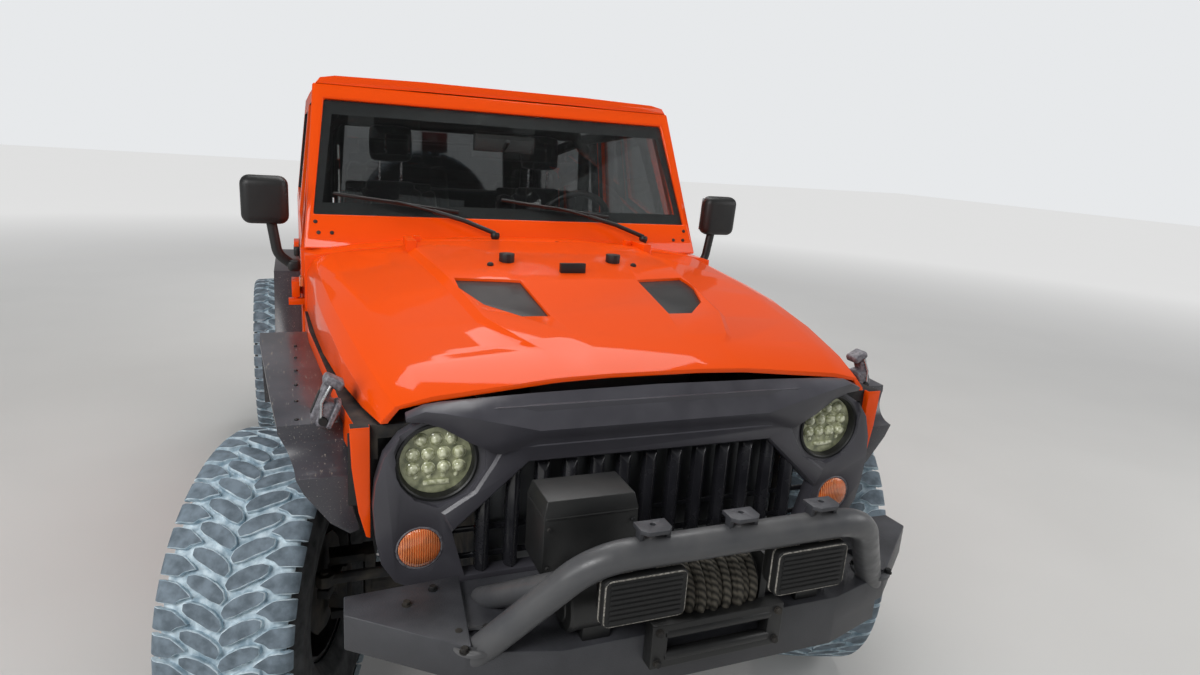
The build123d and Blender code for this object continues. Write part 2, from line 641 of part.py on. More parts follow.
with BuildPart(TOP) as headlamps:
    for side in (-1, 1):
        with BuildSketch(FRONT.offset(-GRILLE_BACK_A)):
            with Locations((side * LAMP_X, LAMP_Z)):
                RegularPolygon(LAMP_R + LENS_GAP, LAMP_SIDES)
        extrude(amount=20)
        with BuildSketch(FRONT.offset(-GRILLE_BACK_A + 20)):
            with Locations((side * LAMP_X, LAMP_Z)):
                RegularPolygon(LAMP_R + LENS_GAP, LAMP_SIDES)
                RegularPolygon(LAMP_R - 6, LAMP_SIDES, mode=Mode.SUBTRACT)
        extrude(amount=14)
        with BuildSketch(FRONT.offset(-GRILLE_BACK_A + 20)):
            with Locations((side * LAMP_X, LAMP_Z)):
                RegularPolygon(LAMP_R - 16, LAMP_SIDES)
        extrude(amount=8, taper=30)
    with Locations(HOME):
        add(grille.part, mode=Mode.SUBTRACT)
headlamps.part.label = "headlamps"
export_step(headlamps.part, "parts/headlamps.step")

with BuildPart(TOP) as turn_signals:
    with BuildSketch(FRONT.offset(-GRILLE_BACK_A)):
        with Locations((SIGNAL_X, SIGNAL_Z), (-SIGNAL_X, SIGNAL_Z)):
            RegularPolygon(SIGNAL_R + LENS_GAP, SIGNAL_SIDES)
    extrude(amount=38)
    with BuildSketch(FRONT.offset(-GRILLE_BACK_A + 38)):
        with Locations((SIGNAL_X, SIGNAL_Z), (-SIGNAL_X, SIGNAL_Z)):
            RegularPolygon(SIGNAL_R - 6, SIGNAL_SIDES)
    extrude(amount=14, taper=40)
turn_signals.part.label = "turn_signals"
export_step(turn_signals.part, "parts/turn_signals.step")

with BuildPart(TOP) as radiator:
    with Locations((0, -440, RAIL_TOP)):
        Box(2 * APRON_X, 60, 360, align=BASE)
radiator.part.label = "radiator"
export_step(radiator.part, "parts/radiator.step")

with BuildPart(TOP) as engine:
    with Locations((0, 110, 622)):
        Box(480, 720, 500, align=BASE)
engine.part.label = "engine"
export_step(engine.part, "parts/engine.step")

# Front bumper: a tray for the winch between two raised wings
BUMPER_EDGE = ((723.0, -640.0), (515.0, -802.0), (330.0, -850.0))
BUMPER_BACK = ((719.0, -575.0), (476.0, RAIL_FRONT_A))
with BuildPart(TOP) as front_bumper:
    with BuildSketch(TOP.offset(WING_LOW)):
        Polygon(*mirrored([*reversed(BUMPER_BACK), *BUMPER_EDGE]), align=None)
    extrude(amount=WING_TOP - WING_LOW)
    with BuildSketch(TOP.offset(BUMPER_TOP)):
        Polygon(*mirrored([(WING_IN - 24, RAIL_FRONT_A), (WING_IN, -806), (330, -860)]), align=None)
    extrude(amount=WING_TOP - BUMPER_TOP, mode=Mode.SUBTRACT)
    with BuildSketch(TOP.offset(BUMPER_LOW)):
        Polygon(*mirrored([(476, RAIL_FRONT_A), (WING_IN, -800), (330, -850)]), align=None)
    extrude(amount=WING_LOW - BUMPER_LOW)
front_bumper.part.label = "front_bumper"
export_step(front_bumper.part, "parts/front_bumper.step")

# Bull bar: a hoop of tube with a brace on each side
BAR_FOOT = (BAR_FOOT_X, BAR_FOOT_A, BAR_FOOT_Z)
BAR_TOP = (BAR_BEND_X, BAR_TOP_A, BAR_TOP_Z)
BAR_SIDES = 12
BRACE_TOP = (BAR_BEND_X + 40, BAR_TOP_A + 26, BAR_TOP_Z - 56)
BRACE_FOOT = (BRACE_FOOT_X, BRACE_FOOT_A, BUMPER_TOP - 12)
hoop_points = [BAR_FOOT, BAR_TOP, (-BAR_BEND_X, BAR_TOP_A, BAR_TOP_Z), (-BAR_FOOT_X, BAR_FOOT_A, BAR_FOOT_Z)]
hoop_start = Plane(
    origin=(BAR_FOOT_X, AXLE_Y + BAR_FOOT_A, BAR_FOOT_Z),
    z_dir=Vector(*BAR_TOP) - Vector(*BAR_FOOT),
)
with BuildPart(TOP) as bull_bar:
    with BuildLine(TOP):
        FilletPolyline(*hoop_points, radius=BAR_BEND_R)
    with BuildSketch(hoop_start):
        RegularPolygon(BAR_R, BAR_SIDES)
    sweep()
    for side in (-1, 1):
        rod((side * BRACE_TOP[0], *BRACE_TOP[1:]), (side * BRACE_FOOT[0], *BRACE_FOOT[1:]), BRACE_R, PIPE_SIDES)
    with Locations(HOME):
        add(front_bumper.part, mode=Mode.SUBTRACT)
bull_bar.part.label = "bull_bar"
export_step(bull_bar.part, "parts/bull_bar.step")

# Holed tabs on top of the hoop, for extra lamps
TAB_Z = BAR_TOP_Z + BAR_R + TAB_LIFT
TAB_WIDE = 64.0
TAB_LONG = 46.0
with BuildPart(TOP) as lamp_tabs:
    for x in (-TAB_X, 0.0, TAB_X):
        with BuildSketch(TOP.offset(TAB_Z)):
            with Locations((x, BAR_TOP_A)):
                Polygon(
                    (-TAB_WIDE / 2, -TAB_LONG / 2 + 12),
                    (-TAB_WIDE / 2 + 12, -TAB_LONG / 2),
                    (TAB_WIDE / 2 - 12, -TAB_LONG / 2),
                    (TAB_WIDE / 2, -TAB_LONG / 2 + 12),
                    (TAB_WIDE / 2, TAB_LONG / 2),
                    (-TAB_WIDE / 2, TAB_LONG / 2),
                    align=None,
                )
            with Locations((x, BAR_TOP_A + 6)):
                Circle(TAB_HOLE_R, mode=Mode.SUBTRACT)
        extrude(amount=TAB_T)
        for edge in (-28, 28):
            with Locations((x + edge, BAR_TOP_A, BAR_TOP_Z + BAR_R / 2)):
                Box(8, 18, TAB_Z - BAR_TOP_Z - BAR_R / 2, align=BASE)
    with Locations(HOME):
        add(bull_bar.part, mode=Mode.SUBTRACT)
lamp_tabs.part.label = "lamp_tabs"
export_step(lamp_tabs.part, "parts/lamp_tabs.step")

# Two covered driving lamps under the hoop
DRIVING_X = 194.0
DRIVING_A = -938.0
with BuildPart(TOP) as driving_lamps:
    for x in (-DRIVING_X, DRIVING_X):
        with Locations((x, DRIVING_A, 812)):
            Box(228, 26, 128, align=CORNER)
        with BuildSketch(FRONT.offset(-DRIVING_A - 26)):
            with Locations((x, 876)):
                Rectangle(220, 120)
        extrude(amount=-42, taper=28)
        with Locations((x, BAR_TOP_A + 10, 938)):
            Box(50, 30, 30, align=BASE)
    with Locations(HOME):
        add(bull_bar.part, mode=Mode.SUBTRACT)
driving_lamps.part.label = "driving_lamps"
export_step(driving_lamps.part, "parts/driving_lamps.step")

# Winch: motor, gearbox, drum, control box on a bracket, and the fairlead on the bumper's face
DRUM_HALF = 118.0
CONTROL_X = -256.0
CONTROL_A = -715.0
CONTROL_LOW = 861.0
CONTROL_TALL = 160.0
CONTROL_WIDE = 202.0
CONTROL_DEEP = 120.0
with BuildPart(TOP) as winch:
    rod((-DRUM_HALF, DRUM_A, DRUM_Z), (DRUM_HALF, DRUM_A, DRUM_Z), DRUM_R, BAR_SIDES)
    rod((DRUM_HALF, DRUM_A, DRUM_Z), (310, DRUM_A, DRUM_Z), DRUM_R - 6, BAR_SIDES)
    rod((-310, DRUM_A, DRUM_Z), (-DRUM_HALF, DRUM_A, DRUM_Z), DRUM_R, BAR_SIDES)
    for x in (-DRUM_HALF, DRUM_HALF):
        with Locations((x, DRUM_A, BUMPER_TOP)):
            Box(16, 130, 146, align=BASE)
    for x in (-255, 255):
        with Locations((x, DRUM_A, BUMPER_TOP)):
            Box(60, 90, 40, align=BASE)
    with Locations((CONTROL_X, CONTROL_A, CONTROL_LOW)):
        Box(CONTROL_WIDE, CONTROL_DEEP, CONTROL_TALL - 30, align=BASE)
    with BuildSketch(TOP.offset(CONTROL_LOW + CONTROL_TALL - 30)):
        with Locations((CONTROL_X, CONTROL_A)):
            Rectangle(CONTROL_WIDE, CONTROL_DEEP)
    extrude(amount=30, taper=14)
    with Locations((CONTROL_X, CONTROL_A, BUMPER_TOP)):
        Box(90, 60, CONTROL_LOW - BUMPER_TOP, align=BASE)
    with Locations((0, -868, 684)):
        Box(310, 36, 99, align=BASE)
    with Locations((0, -868, 704)):
        Box(240, 80, 56, align=BASE, mode=Mode.SUBTRACT)
winch.part.label = "winch"
export_step(winch.part, "parts/winch.step")

# Windscreen
SCREEN_RISE = (SCREEN_TOP_Z - SCREEN_Z) / cos(RAKE)
GLASS_TOP = SCREEN_RISE - 55.0
GLASS = (
    (SCREEN_BASE_HALF - GLASS_MARGIN, GLASS_LOW),
    (SCREEN_TOP_HALF - GLASS_MARGIN - 5, GLASS_TOP),
)
with BuildPart(TOP) as windshield_frame:
    with BuildSketch(SCREEN):
        Polygon(*mirrored([(SCREEN_BASE_HALF, 0), (SCREEN_TOP_HALF - 6, SCREEN_RISE + 60)]), align=None)
        Polygon(*mirrored(GLASS), align=None, mode=Mode.SUBTRACT)
    extrude(amount=-SCREEN_T)
    with Locations((0, SCREEN_A + 300, SCREEN_TOP_Z)):
        Box(2000, 400, 300, align=BASE, mode=Mode.SUBTRACT)
    with Locations((0, SCREEN_A, SCREEN_Z - 100)):
        Box(2000, 400, 100, align=BASE, mode=Mode.SUBTRACT)
windshield_frame.part.label = "windshield_frame"
export_step(windshield_frame.part, "parts/windshield_frame.step")

with BuildPart(TOP) as windshield_glass:
    with BuildSketch(SCREEN.offset(-GLASS_INSET)):
        Polygon(*mirrored(GLASS), align=None)
    extrude(amount=-GLASS_T)
windshield_glass.part.label = "windshield_glass"
export_step(windshield_glass.part, "parts/windshield_glass.step")

with BuildPart(TOP) as wipers:
    for pivot_x in (-102.0, 507.0):
        rod((pivot_x, 700, 1300), (pivot_x, 700, 1355), 11)
        rod((pivot_x, 700, 1349), (pivot_x - 230, 768, 1418), 7)
    with Locations(HOME):
        add(cowl.part, mode=Mode.SUBTRACT)
        add(windshield_frame.part, mode=Mode.SUBTRACT)
wipers.part.label = "wipers"
export_step(wipers.part, "parts/wipers.step")

# Hard top and its glass
SIDE_WINDOW = (
    (QUARTER_A + 108, WINDOW_LOW),
    (QUARTER_A + 108, WINDOW_TOP),
    (BODY_BACK_A - 170, WINDOW_TOP),
    (BODY_BACK_A - 130, WINDOW_LOW),
)
REAR_WINDOW = (
    (REAR_WINDOW_HALF, WINDOW_LOW - 15),
    (REAR_WINDOW_HALF - 30, WINDOW_TOP + 20),
)
VOID_LOW = BELT_Z - 5.0
VOID_TOP = SCREEN_TOP_Z - 35.0
SKY = ROOF_Z + 60.0
ROOF_SHAPE = (
    # from the left edge of the roof to its middle: x, z
    (LEAN_TOP_X, ROOF_EDGE_Z),
    (692.0, ROOF_SHOULDER_Z - 10),
    (640.0, ROOF_SHOULDER_Z),
    (320.0, ROOF_Z - 2.5),
)
VOID_SHAPE = (
    (lean(VOID_LOW) - TOP_WALL, VOID_LOW),
    (lean(VOID_TOP) - TOP_WALL, VOID_TOP),
    (620.0, SCREEN_TOP_Z - 3),
    (300.0, ROOF_Z - TOP_WALL - 2.5),
)
with BuildPart(TOP) as top_void:
    with BuildSketch(FRONT.offset(-ROOF_A + 109)):
        Polygon(*mirrored(VOID_SHAPE), align=None)
    extrude(amount=-(ROOF_BACK_A - TOP_WALL - ROOF_A + 109))
    with BuildSketch(SIDE.offset(-1000)):
        Polygon(
            (ROOF_BACK_A - TOP_WALL, VOID_LOW),
            (ROOF_BACK_A + 200, VOID_LOW),
            (ROOF_BACK_A + 200, SKY),
            (ROOF_BACK_A - TOP_WALL - REAR_LEAN, SKY),
            align=None,
        )
    extrude(amount=2000, mode=Mode.SUBTRACT)
with BuildPart(TOP) as hardtop:
    with BuildSketch(FRONT.offset(-ROOF_A)):
        Polygon(*mirrored([(BODY_X, BELT_Z), *ROOF_SHAPE]), align=None)
    extrude(amount=-(ROOF_BACK_A - ROOF_A))
    with BuildSketch(SIDE.offset(-1000)):
        Polygon(
            (ROOF_BACK_A, BELT_Z),
            (ROOF_BACK_A + 200, BELT_Z),
            (ROOF_BACK_A + 200, SKY),
            (ROOF_BACK_A - REAR_LEAN, SKY),
            align=None,
        )
    extrude(amount=2000, mode=Mode.SUBTRACT)
    with Locations(HOME):
        add(top_void.part, mode=Mode.SUBTRACT)
    with BuildSketch(SIDE.offset(-1000)):
        Polygon(
            (ROOF_A - 5, VOID_LOW),
            (QUARTER_A, VOID_LOW),
            (QUARTER_A, SCREEN_TOP_Z),
            (ROOF_A - 5, SCREEN_TOP_Z),
            align=None,
        )
        Polygon(*SIDE_WINDOW, align=None)
    extrude(amount=2000, mode=Mode.SUBTRACT)
    with BuildSketch(FRONT.offset(-ROOF_BACK_A + 200)):
        Polygon(*mirrored(REAR_WINDOW), align=None)
    extrude(amount=-400, mode=Mode.SUBTRACT)
hardtop.part.label = "hardtop"
export_step(hardtop.part, "parts/hardtop.step")

with BuildPart(TOP) as top_glass:
    for side in (-1, 1):
        with BuildSketch(FRONT.offset(-QUARTER_A)):
            Polygon(
                (side * (lean(WINDOW_LOW) - PANE_IN), WINDOW_LOW),
                (side * (lean(WINDOW_TOP) - PANE_IN), WINDOW_TOP),
                (side * (lean(WINDOW_TOP) - PANE_IN - PANE_T), WINDOW_TOP),
                (side * (lean(WINDOW_LOW) - PANE_IN - PANE_T), WINDOW_LOW),
                align=None,
            )
        extrude(amount=-(BODY_BACK_A - QUARTER_A))
    with BuildSketch(SIDE.offset(-1000)):
        Polygon(*SIDE_WINDOW, align=None)
    extrude(amount=2000, mode=Mode.INTERSECT)
with BuildPart(TOP) as rear_glass:
    with BuildSketch(SIDE.offset(-600)):
        Polygon(
            (ROOF_BACK_A - PANE_IN, BELT_Z),
            (ROOF_BACK_A - PANE_IN - PANE_T, BELT_Z),
            (ROOF_BACK_A - PANE_IN - PANE_T - REAR_LEAN, SKY),
            (ROOF_BACK_A - PANE_IN - REAR_LEAN, SKY),
            align=None,
        )
    extrude(amount=1200)
    with BuildSketch(FRONT.offset(-ROOF_BACK_A + 300)):
        Polygon(*mirrored(REAR_WINDOW), align=None)
    extrude(amount=-500, mode=Mode.INTERSECT)
with BuildPart(TOP) as all_glass:
    with Locations(HOME):
        add(top_glass.part)
        add(rear_glass.part)
all_glass.part.label = "top_glass"
export_step(all_glass.part, "parts/top_glass.step")

# Sport bar: a hoop behind the front seats and a rail along each side
SPORT_R = 32.0
HOOP_A = QUARTER_A + 48.0
HOOP_TOP_A = HOOP_A + 15.0
SPORT_TOP_Z = SCREEN_TOP_Z - 105.0
with BuildPart(TOP) as sport_bar:
    with BuildLine(TOP):
        Polyline(
            (672, HOOP_A, FLOOR_Z),
            (648, HOOP_TOP_A, SPORT_TOP_Z - 70),
            (590, HOOP_TOP_A, SPORT_TOP_Z),
            (-590, HOOP_TOP_A, SPORT_TOP_Z),
            (-648, HOOP_TOP_A, SPORT_TOP_Z - 70),
            (-672, HOOP_A, FLOOR_Z),
        )
    with BuildSketch(Plane(origin=(672, AXLE_Y + HOOP_A, FLOOR_Z), z_dir=(-24, 15, SPORT_TOP_Z - 70 - FLOOR_Z))):
        RegularPolygon(SPORT_R, PIPE_SIDES)
    sweep(transition=Transition.RIGHT)
for side in (-1, 1):
    foot = (side * 610, BODY_BACK_A - 130, FLOOR_Z)
    knee = (side * 625, BODY_BACK_A - 180, SPORT_TOP_Z - 180)
    with BuildPart(TOP) as side_bar:
        with BuildLine(TOP):
            Polyline(foot, knee, (side * 641, HOOP_TOP_A, SPORT_TOP_Z - 20), (side * 636, 1150, SPORT_TOP_Z + 30))
        with BuildSketch(Plane(origin=(foot[0], AXLE_Y + foot[1], foot[2]), z_dir=Vector(*knee) - Vector(*foot))):
            RegularPolygon(SPORT_R - 4, PIPE_SIDES)
        sweep(transition=Transition.RIGHT)
    sport_bar.part += side_bar.part
sport_bar.part -= floor_pan.part
sport_bar.part.label = "sport_bar"
export_step(sport_bar.part, "parts/sport_bar.step")

# Dashboard, column, console and inner mirror
DASH_HALF = 690.0
COLUMN_R = 36.0
MIRROR_A = 1010.0
MIRROR_Z = SCREEN_TOP_Z - 203.0
with BuildPart(TOP) as dashboard:
    with BuildSketch(SIDE.offset(-DASH_HALF)):
        Polygon((660, 1000), (660, 1240), (800, 1240), (1000, 1270), (1040, 1200), (960, 1000), align=None)
    extrude(amount=2 * DASH_HALF)
    drop = tan(radians(WHEEL_TILT))
    column = (
        (WHEEL_X, WHEEL_A - 260, WHEEL_Z - 260 * drop),
        (WHEEL_X, WHEEL_A - 50, WHEEL_Z - 50 * drop),
    )
    rod(*column, COLUMN_R, PIPE_SIDES)
    bore(*column, SHAFT_R)
    with Locations((0, 1250, FLOOR_Z)):
        Box(240, 620, 300, align=BASE)
    with Locations((0, 980, FLOOR_Z)):
        Box(240, 120, 300, align=BASE)
    with Locations((0, MIRROR_A, MIRROR_Z)):
        Box(246, 30, 66, align=BASE)
    with BuildSketch(SCREEN.offset(-GLASS_INSET - GLASS_T)):
        with Locations((0, (MIRROR_Z + 50 - SCREEN_Z) / cos(RAKE))):
            RegularPolygon(10, ROD_SIDES)
    extrude(amount=-60)
dashboard.part.label = "dashboard"
export_step(dashboard.part, "parts/dashboard.step")

SEAT_X = 365.0
with BuildPart(TOP) as front_seats:
    for x in (-SEAT_X, SEAT_X):
        with Locations((x, 1440, FLOOR_Z)):
            Box(440, 460, 90, align=BASE)
        with BuildSketch(SIDE.offset(x - 235)):
            Polygon((1180, 850), (1180, 1000), (1560, 980), (1670, 1500), (1780, 1490), (1700, 850), align=None)
        extrude(amount=470)
        with BuildSketch(SIDE.offset(x - 105)):
            Polygon((1660, 1559), (1660, 1742), (1745, 1742), (1760, 1559), align=None)
        extrude(amount=210)
        for post in (-50, 50):
            rod((x + post, 1705, 1480), (x + post, 1705, 1580), 7)
front_seats.part.label = "front_seats"
export_step(front_seats.part, "parts/front_seats.step")

with BuildPart(TOP) as rear_seat:
    with BuildSketch(SIDE.offset(-520)):
        Polygon(
            (WHEELBASE - 404, FLOOR_Z),
            (WHEELBASE - 404, 1050),
            (WHEELBASE - 4, 1040),
            (WHEELBASE + 76, 1430),
            (WHEELBASE + 186, 1420),
            (WHEELBASE + 136, FLOOR_Z),
            align=None,
        )
    extrude(amount=1040)
rear_seat.part.label = "rear_seat"
export_step(rear_seat.part, "parts/rear_seat.step")

# Axles
YOKE_IN = 606.0
YOKE_OUT = 728.0
EAR_HALF = 98.0
EAR_T = 24.0
TUBE_R = 43.0
DIFF_R = 108.0
SPINDLE_R = 35.0
STUB_R = HUB_BORE_R - RIM_GAP
STUB_LONG = 34.0
SPINDLE_X = TRACK_HALF + HUB_IN - 8.0
FRONT_DIFF_X = -150.0
with BuildPart(TOP) as axles:
    rod((-YOKE_IN - 10, 0, AXLE_Z), (YOKE_IN + 10, 0, AXLE_Z), TUBE_R, PIPE_SIDES)
    for side in (-1, 1):
        with Locations((side * (YOKE_IN + 14), 0, AXLE_Z)):
            Box(28, 74, 2 * EAR_HALF)
        for rise in (EAR_T / 2 - EAR_HALF, EAR_HALF - EAR_T / 2):
            with Locations((side * (YOKE_IN + YOKE_OUT) / 2, 0, AXLE_Z + rise)):
                Box(YOKE_OUT - YOKE_IN, 60, EAR_T)
        bore((side * KINGPIN_X, 0, AXLE_Z - EAR_HALF), (side * KINGPIN_X, 0, AXLE_Z + EAR_HALF), KINGPIN_R)
        with BuildSketch(SIDE.offset(FRONT_DIFF_X)):
            with Locations((16, AXLE_Z)):
                RegularPolygon(DIFF_R, PIPE_SIDES)
        extrude(amount=side * 90, taper=30)
        with BuildSketch(SIDE.offset(-20)):
            with Locations((WHEELBASE, AXLE_Z)):
                RegularPolygon(DIFF_R + 17, PIPE_SIDES)
        extrude(amount=side * 110, taper=34)
        rod((0, WHEELBASE, AXLE_Z), (side * 760, WHEELBASE, AXLE_Z), TUBE_R, PIPE_SIDES)
        rod((side * 700, WHEELBASE, AXLE_Z), (side * SPINDLE_X, WHEELBASE, AXLE_Z), SPINDLE_R, PIPE_SIDES)
        start = (side * (SPINDLE_X - 10), WHEELBASE, AXLE_Z)
        rod(start, (side * (SPINDLE_X + STUB_LONG), WHEELBASE, AXLE_Z), STUB_R, STUB_SIDES)
axles.part.label = "axles"
export_step(axles.part, "parts/axles.step")

# Links and dampers, then the coil springs and their perches
ARMS = (
    # start, end, radius
    ((455, 34, 410), (395, 700, 540), 22.0),
    ((360, 30, 500), (330, 640, 585), 18.0),
    ((455, WHEELBASE - 34, 410), (395, WHEELBASE - 700, 540), 22.0),
    ((330, WHEELBASE - 30, 500), (330, WHEELBASE - 560, 585), 18.0),
    ((500, 96, 440), (440, 110, 1000), 26.0),
    ((560, WHEELBASE + 90, 440), (520, WHEELBASE + 130, 745), 26.0),
)
TOWER_LOW = 870.0
COILS = (
    # x, a, low, high, radius
    (475.0, 0.0, 480.0, TOWER_LOW, 56.0),
    (478.0, WHEELBASE + 10, 480.0, FLOOR_LOW, 60.0),
)
with BuildPart(TOP) as suspension:
    for start, end, radius in ARMS:
        rod(start, end, radius)
    for x, a, low, high, radius in COILS:
        with Locations((x, a, AXLE_Z)):
            Box(60, 90, low - AXLE_Z, align=BASE)
    with Locations((APRON_X + APRON_T, 50, TOWER_LOW)):
        Box(125, 190, 20, align=(Align.MIN, Align.CENTER, Align.MIN))
    for a in (700, WHEELBASE - 700):
        with Locations((395, a, 545)):
            Box(60, 60, 50)
    mirror(about=Plane.YZ)
    with Locations(HOME):
        for piece in (axles, frame, floor_pan, front_fenders):
            add(piece.part, mode=Mode.SUBTRACT)
suspension.part.label = "suspension"
export_step(suspension.part, "parts/suspension.step")

with BuildPart(TOP) as springs:
    for x, a, low, high, radius in COILS:
        rod((x, a, low), (x, a, high), radius, PIPE_SIDES)
        rod((x, a, high - 12), (x, a, high), radius + 8, PIPE_SIDES)
    mirror(about=Plane.YZ)
    with Locations(HOME):
        for piece in (axles, frame, floor_pan, front_fenders, suspension):
            add(piece.part, mode=Mode.SUBTRACT)
springs.part.label = "springs"
export_step(springs.part, "parts/springs.step")

# Gearbox, transfer case, shafts, tank and silencer
SHAFTS = (
    # start, end
    ((-150, 990, 640), (-180, 120, 470)),
    ((0, 1170, 650), (-20, WHEELBASE - 100, 470)),
)
SILENCER_A = WHEELBASE + 196.0
with BuildPart(TOP) as driveline:
    rod((0, 470, 660), (0, 1240, 660), 70, PIPE_SIDES)
    with Locations((-60, 1080, 592)):
        Box(260, 200, 140, align=BASE)
    for start, end in SHAFTS:
        rod(start, end, 26)
    with Locations((-150, 1600, 600)):
        Box(300, 340, 130, align=BASE)
    rod((180, SILENCER_A, 640), (180, SILENCER_A + 280, 640), 80, PIPE_SIDES)
    with Locations((180, SILENCER_A + 140, 700)):
        Box(30, 30, FLOOR_LOW - 700, align=BASE)
    with Locations(HOME):
        for piece in (axles, frame, floor_pan, engine, suspension, springs):
            add(piece.part, mode=Mode.SUBTRACT)
driveline.part.label = "driveline"
export_step(driveline.part, "parts/driveline.step")

# Rear bumper and lamps
with BuildPart(TOP) as rear_bumper:
    with Locations((0, RAIL_BACK_A, 600)):
        Box(1400, 110, 112, align=CORNER)
rear_bumper.part.label = "rear_bumper"
export_step(rear_bumper.part, "parts/rear_bumper.step")

with BuildPart(TOP) as tail_lamps:
    for x in (-722.0, 722.0):
        with Locations((x, BODY_BACK_A, 900)):
            Box(100, 34, 170, align=CORNER)
tail_lamps.part.label = "tail_lamps"
export_step(tail_lamps.part, "parts/tail_lamps.step")

with BuildPart(TOP) as hood_latches:
    with Locations((718, -361, 1060)):
        Box(38, 60, 92, align=BASE)
    mirror(about=Plane.YZ)
    with Locations(HOME):
        add(front_fenders.part, mode=Mode.SUBTRACT)
        add(flares.part, mode=Mode.SUBTRACT)
hood_latches.part.label = "hood_latches"
export_step(hood_latches.part, "parts/hood_latches.step")

# Doors, their glass and mirrors
DOOR_NECK_Z = BELT_Z - 10.0
DOOR_GLASS_TOP = DOOR_FRAME_TOP - 48.0
DOOR_WINDOW = (
    (860, BELT_Z + 35),
    (1095, DOOR_GLASS_TOP),
    (DOOR_BACK_A - 50, DOOR_GLASS_TOP),
    (DOOR_BACK_A - 50, BELT_Z + 35),
)
DOOR_FRAME = (
    (800, DOOR_NECK_Z),
    (1078, DOOR_FRAME_TOP),
    (DOOR_BACK_A, DOOR_FRAME_TOP),
    (DOOR_BACK_A, DOOR_NECK_Z),
)
DOOR_MIRROR_X = BODY_X + 109.0
with BuildPart(TOP) as door_upper:
    with BuildSketch(FRONT.offset(-DOOR_A)):
        Polygon(
            (lean(DOOR_NECK_Z), DOOR_NECK_Z),
            (lean(DOOR_FRAME_TOP), DOOR_FRAME_TOP),
            (lean(DOOR_FRAME_TOP) - DOOR_FRAME_T, DOOR_FRAME_TOP),
            (lean(DOOR_NECK_Z) - DOOR_FRAME_T, DOOR_NECK_Z),
            align=None,
        )
    extrude(amount=-(DOOR_BACK_A - DOOR_A))
    with BuildSketch(SIDE):
        Polygon(*DOOR_FRAME, align=None)
        Polygon(*DOOR_WINDOW, align=None, mode=Mode.SUBTRACT)
    extrude(amount=1000, mode=Mode.INTERSECT)
with BuildPart(TOP) as door_left:
    with BuildSketch(SIDE.offset(BODY_X - WALL)):
        Polygon((DOOR_A, DOOR_LOW), (DOOR_A, DOOR_TOP), (DOOR_BACK_A, DOOR_TOP), (DOOR_BACK_A, DOOR_LOW), align=None)
    extrude(amount=WALL)
    with Locations(HOME):
        add(door_upper.part)
    with Locations((BODY_X, DOOR_BACK_A - 120, 1185)):
        Box(24, 130, 26, align=(Align.MIN, Align.CENTER, Align.CENTER))
    for hinge_z in DOOR_HINGES_Z:
        with Locations((DOOR_HINGE_X, DOOR_HINGE_A - 13, hinge_z + LEAF_RISE)):
            Box(26, 90, HINGE_TALL - LEAF_RISE, align=CORNER)
        with Locations((BODY_X - 2, DOOR_A + 30, hinge_z + LEAF_RISE)):
            Box(30, 30, HINGE_TALL - LEAF_RISE, align=(Align.MIN, Align.MIN, Align.MIN))
        start = (DOOR_HINGE_X, DOOR_HINGE_A, hinge_z - HINGE_TALL)
        bore(start, (DOOR_HINGE_X, DOOR_HINGE_A, hinge_z + 2 * HINGE_TALL), HINGE_PIN_R)
door_left.part.label = "door_left"
with BuildPart(TOP) as door_glass_left:
    with BuildSketch(FRONT.offset(-DOOR_A)):
        Polygon(
            (lean(BELT_Z) - PANE_IN, BELT_Z),
            (lean(DOOR_FRAME_TOP) - PANE_IN, DOOR_FRAME_TOP),
            (lean(DOOR_FRAME_TOP) - PANE_IN - PANE_T, DOOR_FRAME_TOP),
            (lean(BELT_Z) - PANE_IN - PANE_T, BELT_Z),
            align=None,
        )
    extrude(amount=-(DOOR_BACK_A - DOOR_A))
    with BuildSketch(SIDE):
        Polygon(*DOOR_WINDOW, align=None)
    extrude(amount=1000, mode=Mode.INTERSECT)
with BuildPart(TOP) as mirror_left:
    with Locations((DOOR_MIRROR_X, 786, 1370)):
        Box(146, 44, 160, align=BASE)
    with BuildSketch(FRONT.offset(-764)):
        with Locations((DOOR_MIRROR_X, 1450)):
            Rectangle(146, 160)
    extrude(amount=46, taper=32)
    with Locations((BODY_X + 25, 790, 1225)):
        Box(60, 40, 26)
    rod((BODY_X + 40, 790, 1225), (DOOR_MIRROR_X - 14, 786, 1375), 15)
    with Locations(HOME):
        add(door_left.part, mode=Mode.SUBTRACT)
for name, piece in (("door", door_left), ("door_glass", door_glass_left), ("mirror", mirror_left)):
    piece.part.label = name + "_left"
    export_step(piece.part, "parts/" + name + "_left.step")
    other = mirror(piece.part, about=Plane.YZ)
    other.label = name + "_right"
    export_step(other, "parts/" + name + "_right.step")

# Tailgate
with BuildPart(TOP) as tailgate:
    with Locations((0, BODY_BACK_A - 20, GATE_LOW)):
        Box(2 * GATE_HALF, 50, BELT_Z - 3 - GATE_LOW, align=CORNER)
    for hinge_z in GATE_HINGES_Z:
        with Locations((-GATE_HINGE_X - 13, GATE_HINGE_A - 13, hinge_z + LEAF_RISE)):
            Box(120, 26, HINGE_TALL - LEAF_RISE, align=(Align.MIN, Align.MIN, Align.MIN))
        start = (-GATE_HINGE_X, GATE_HINGE_A, hinge_z - HINGE_TALL)
        bore(start, (-GATE_HINGE_X, GATE_HINGE_A, hinge_z + 2 * HINGE_TALL), HINGE_PIN_R)
tailgate.part.label = "tailgate"
export_step(tailgate.part, "parts/tailgate.step")

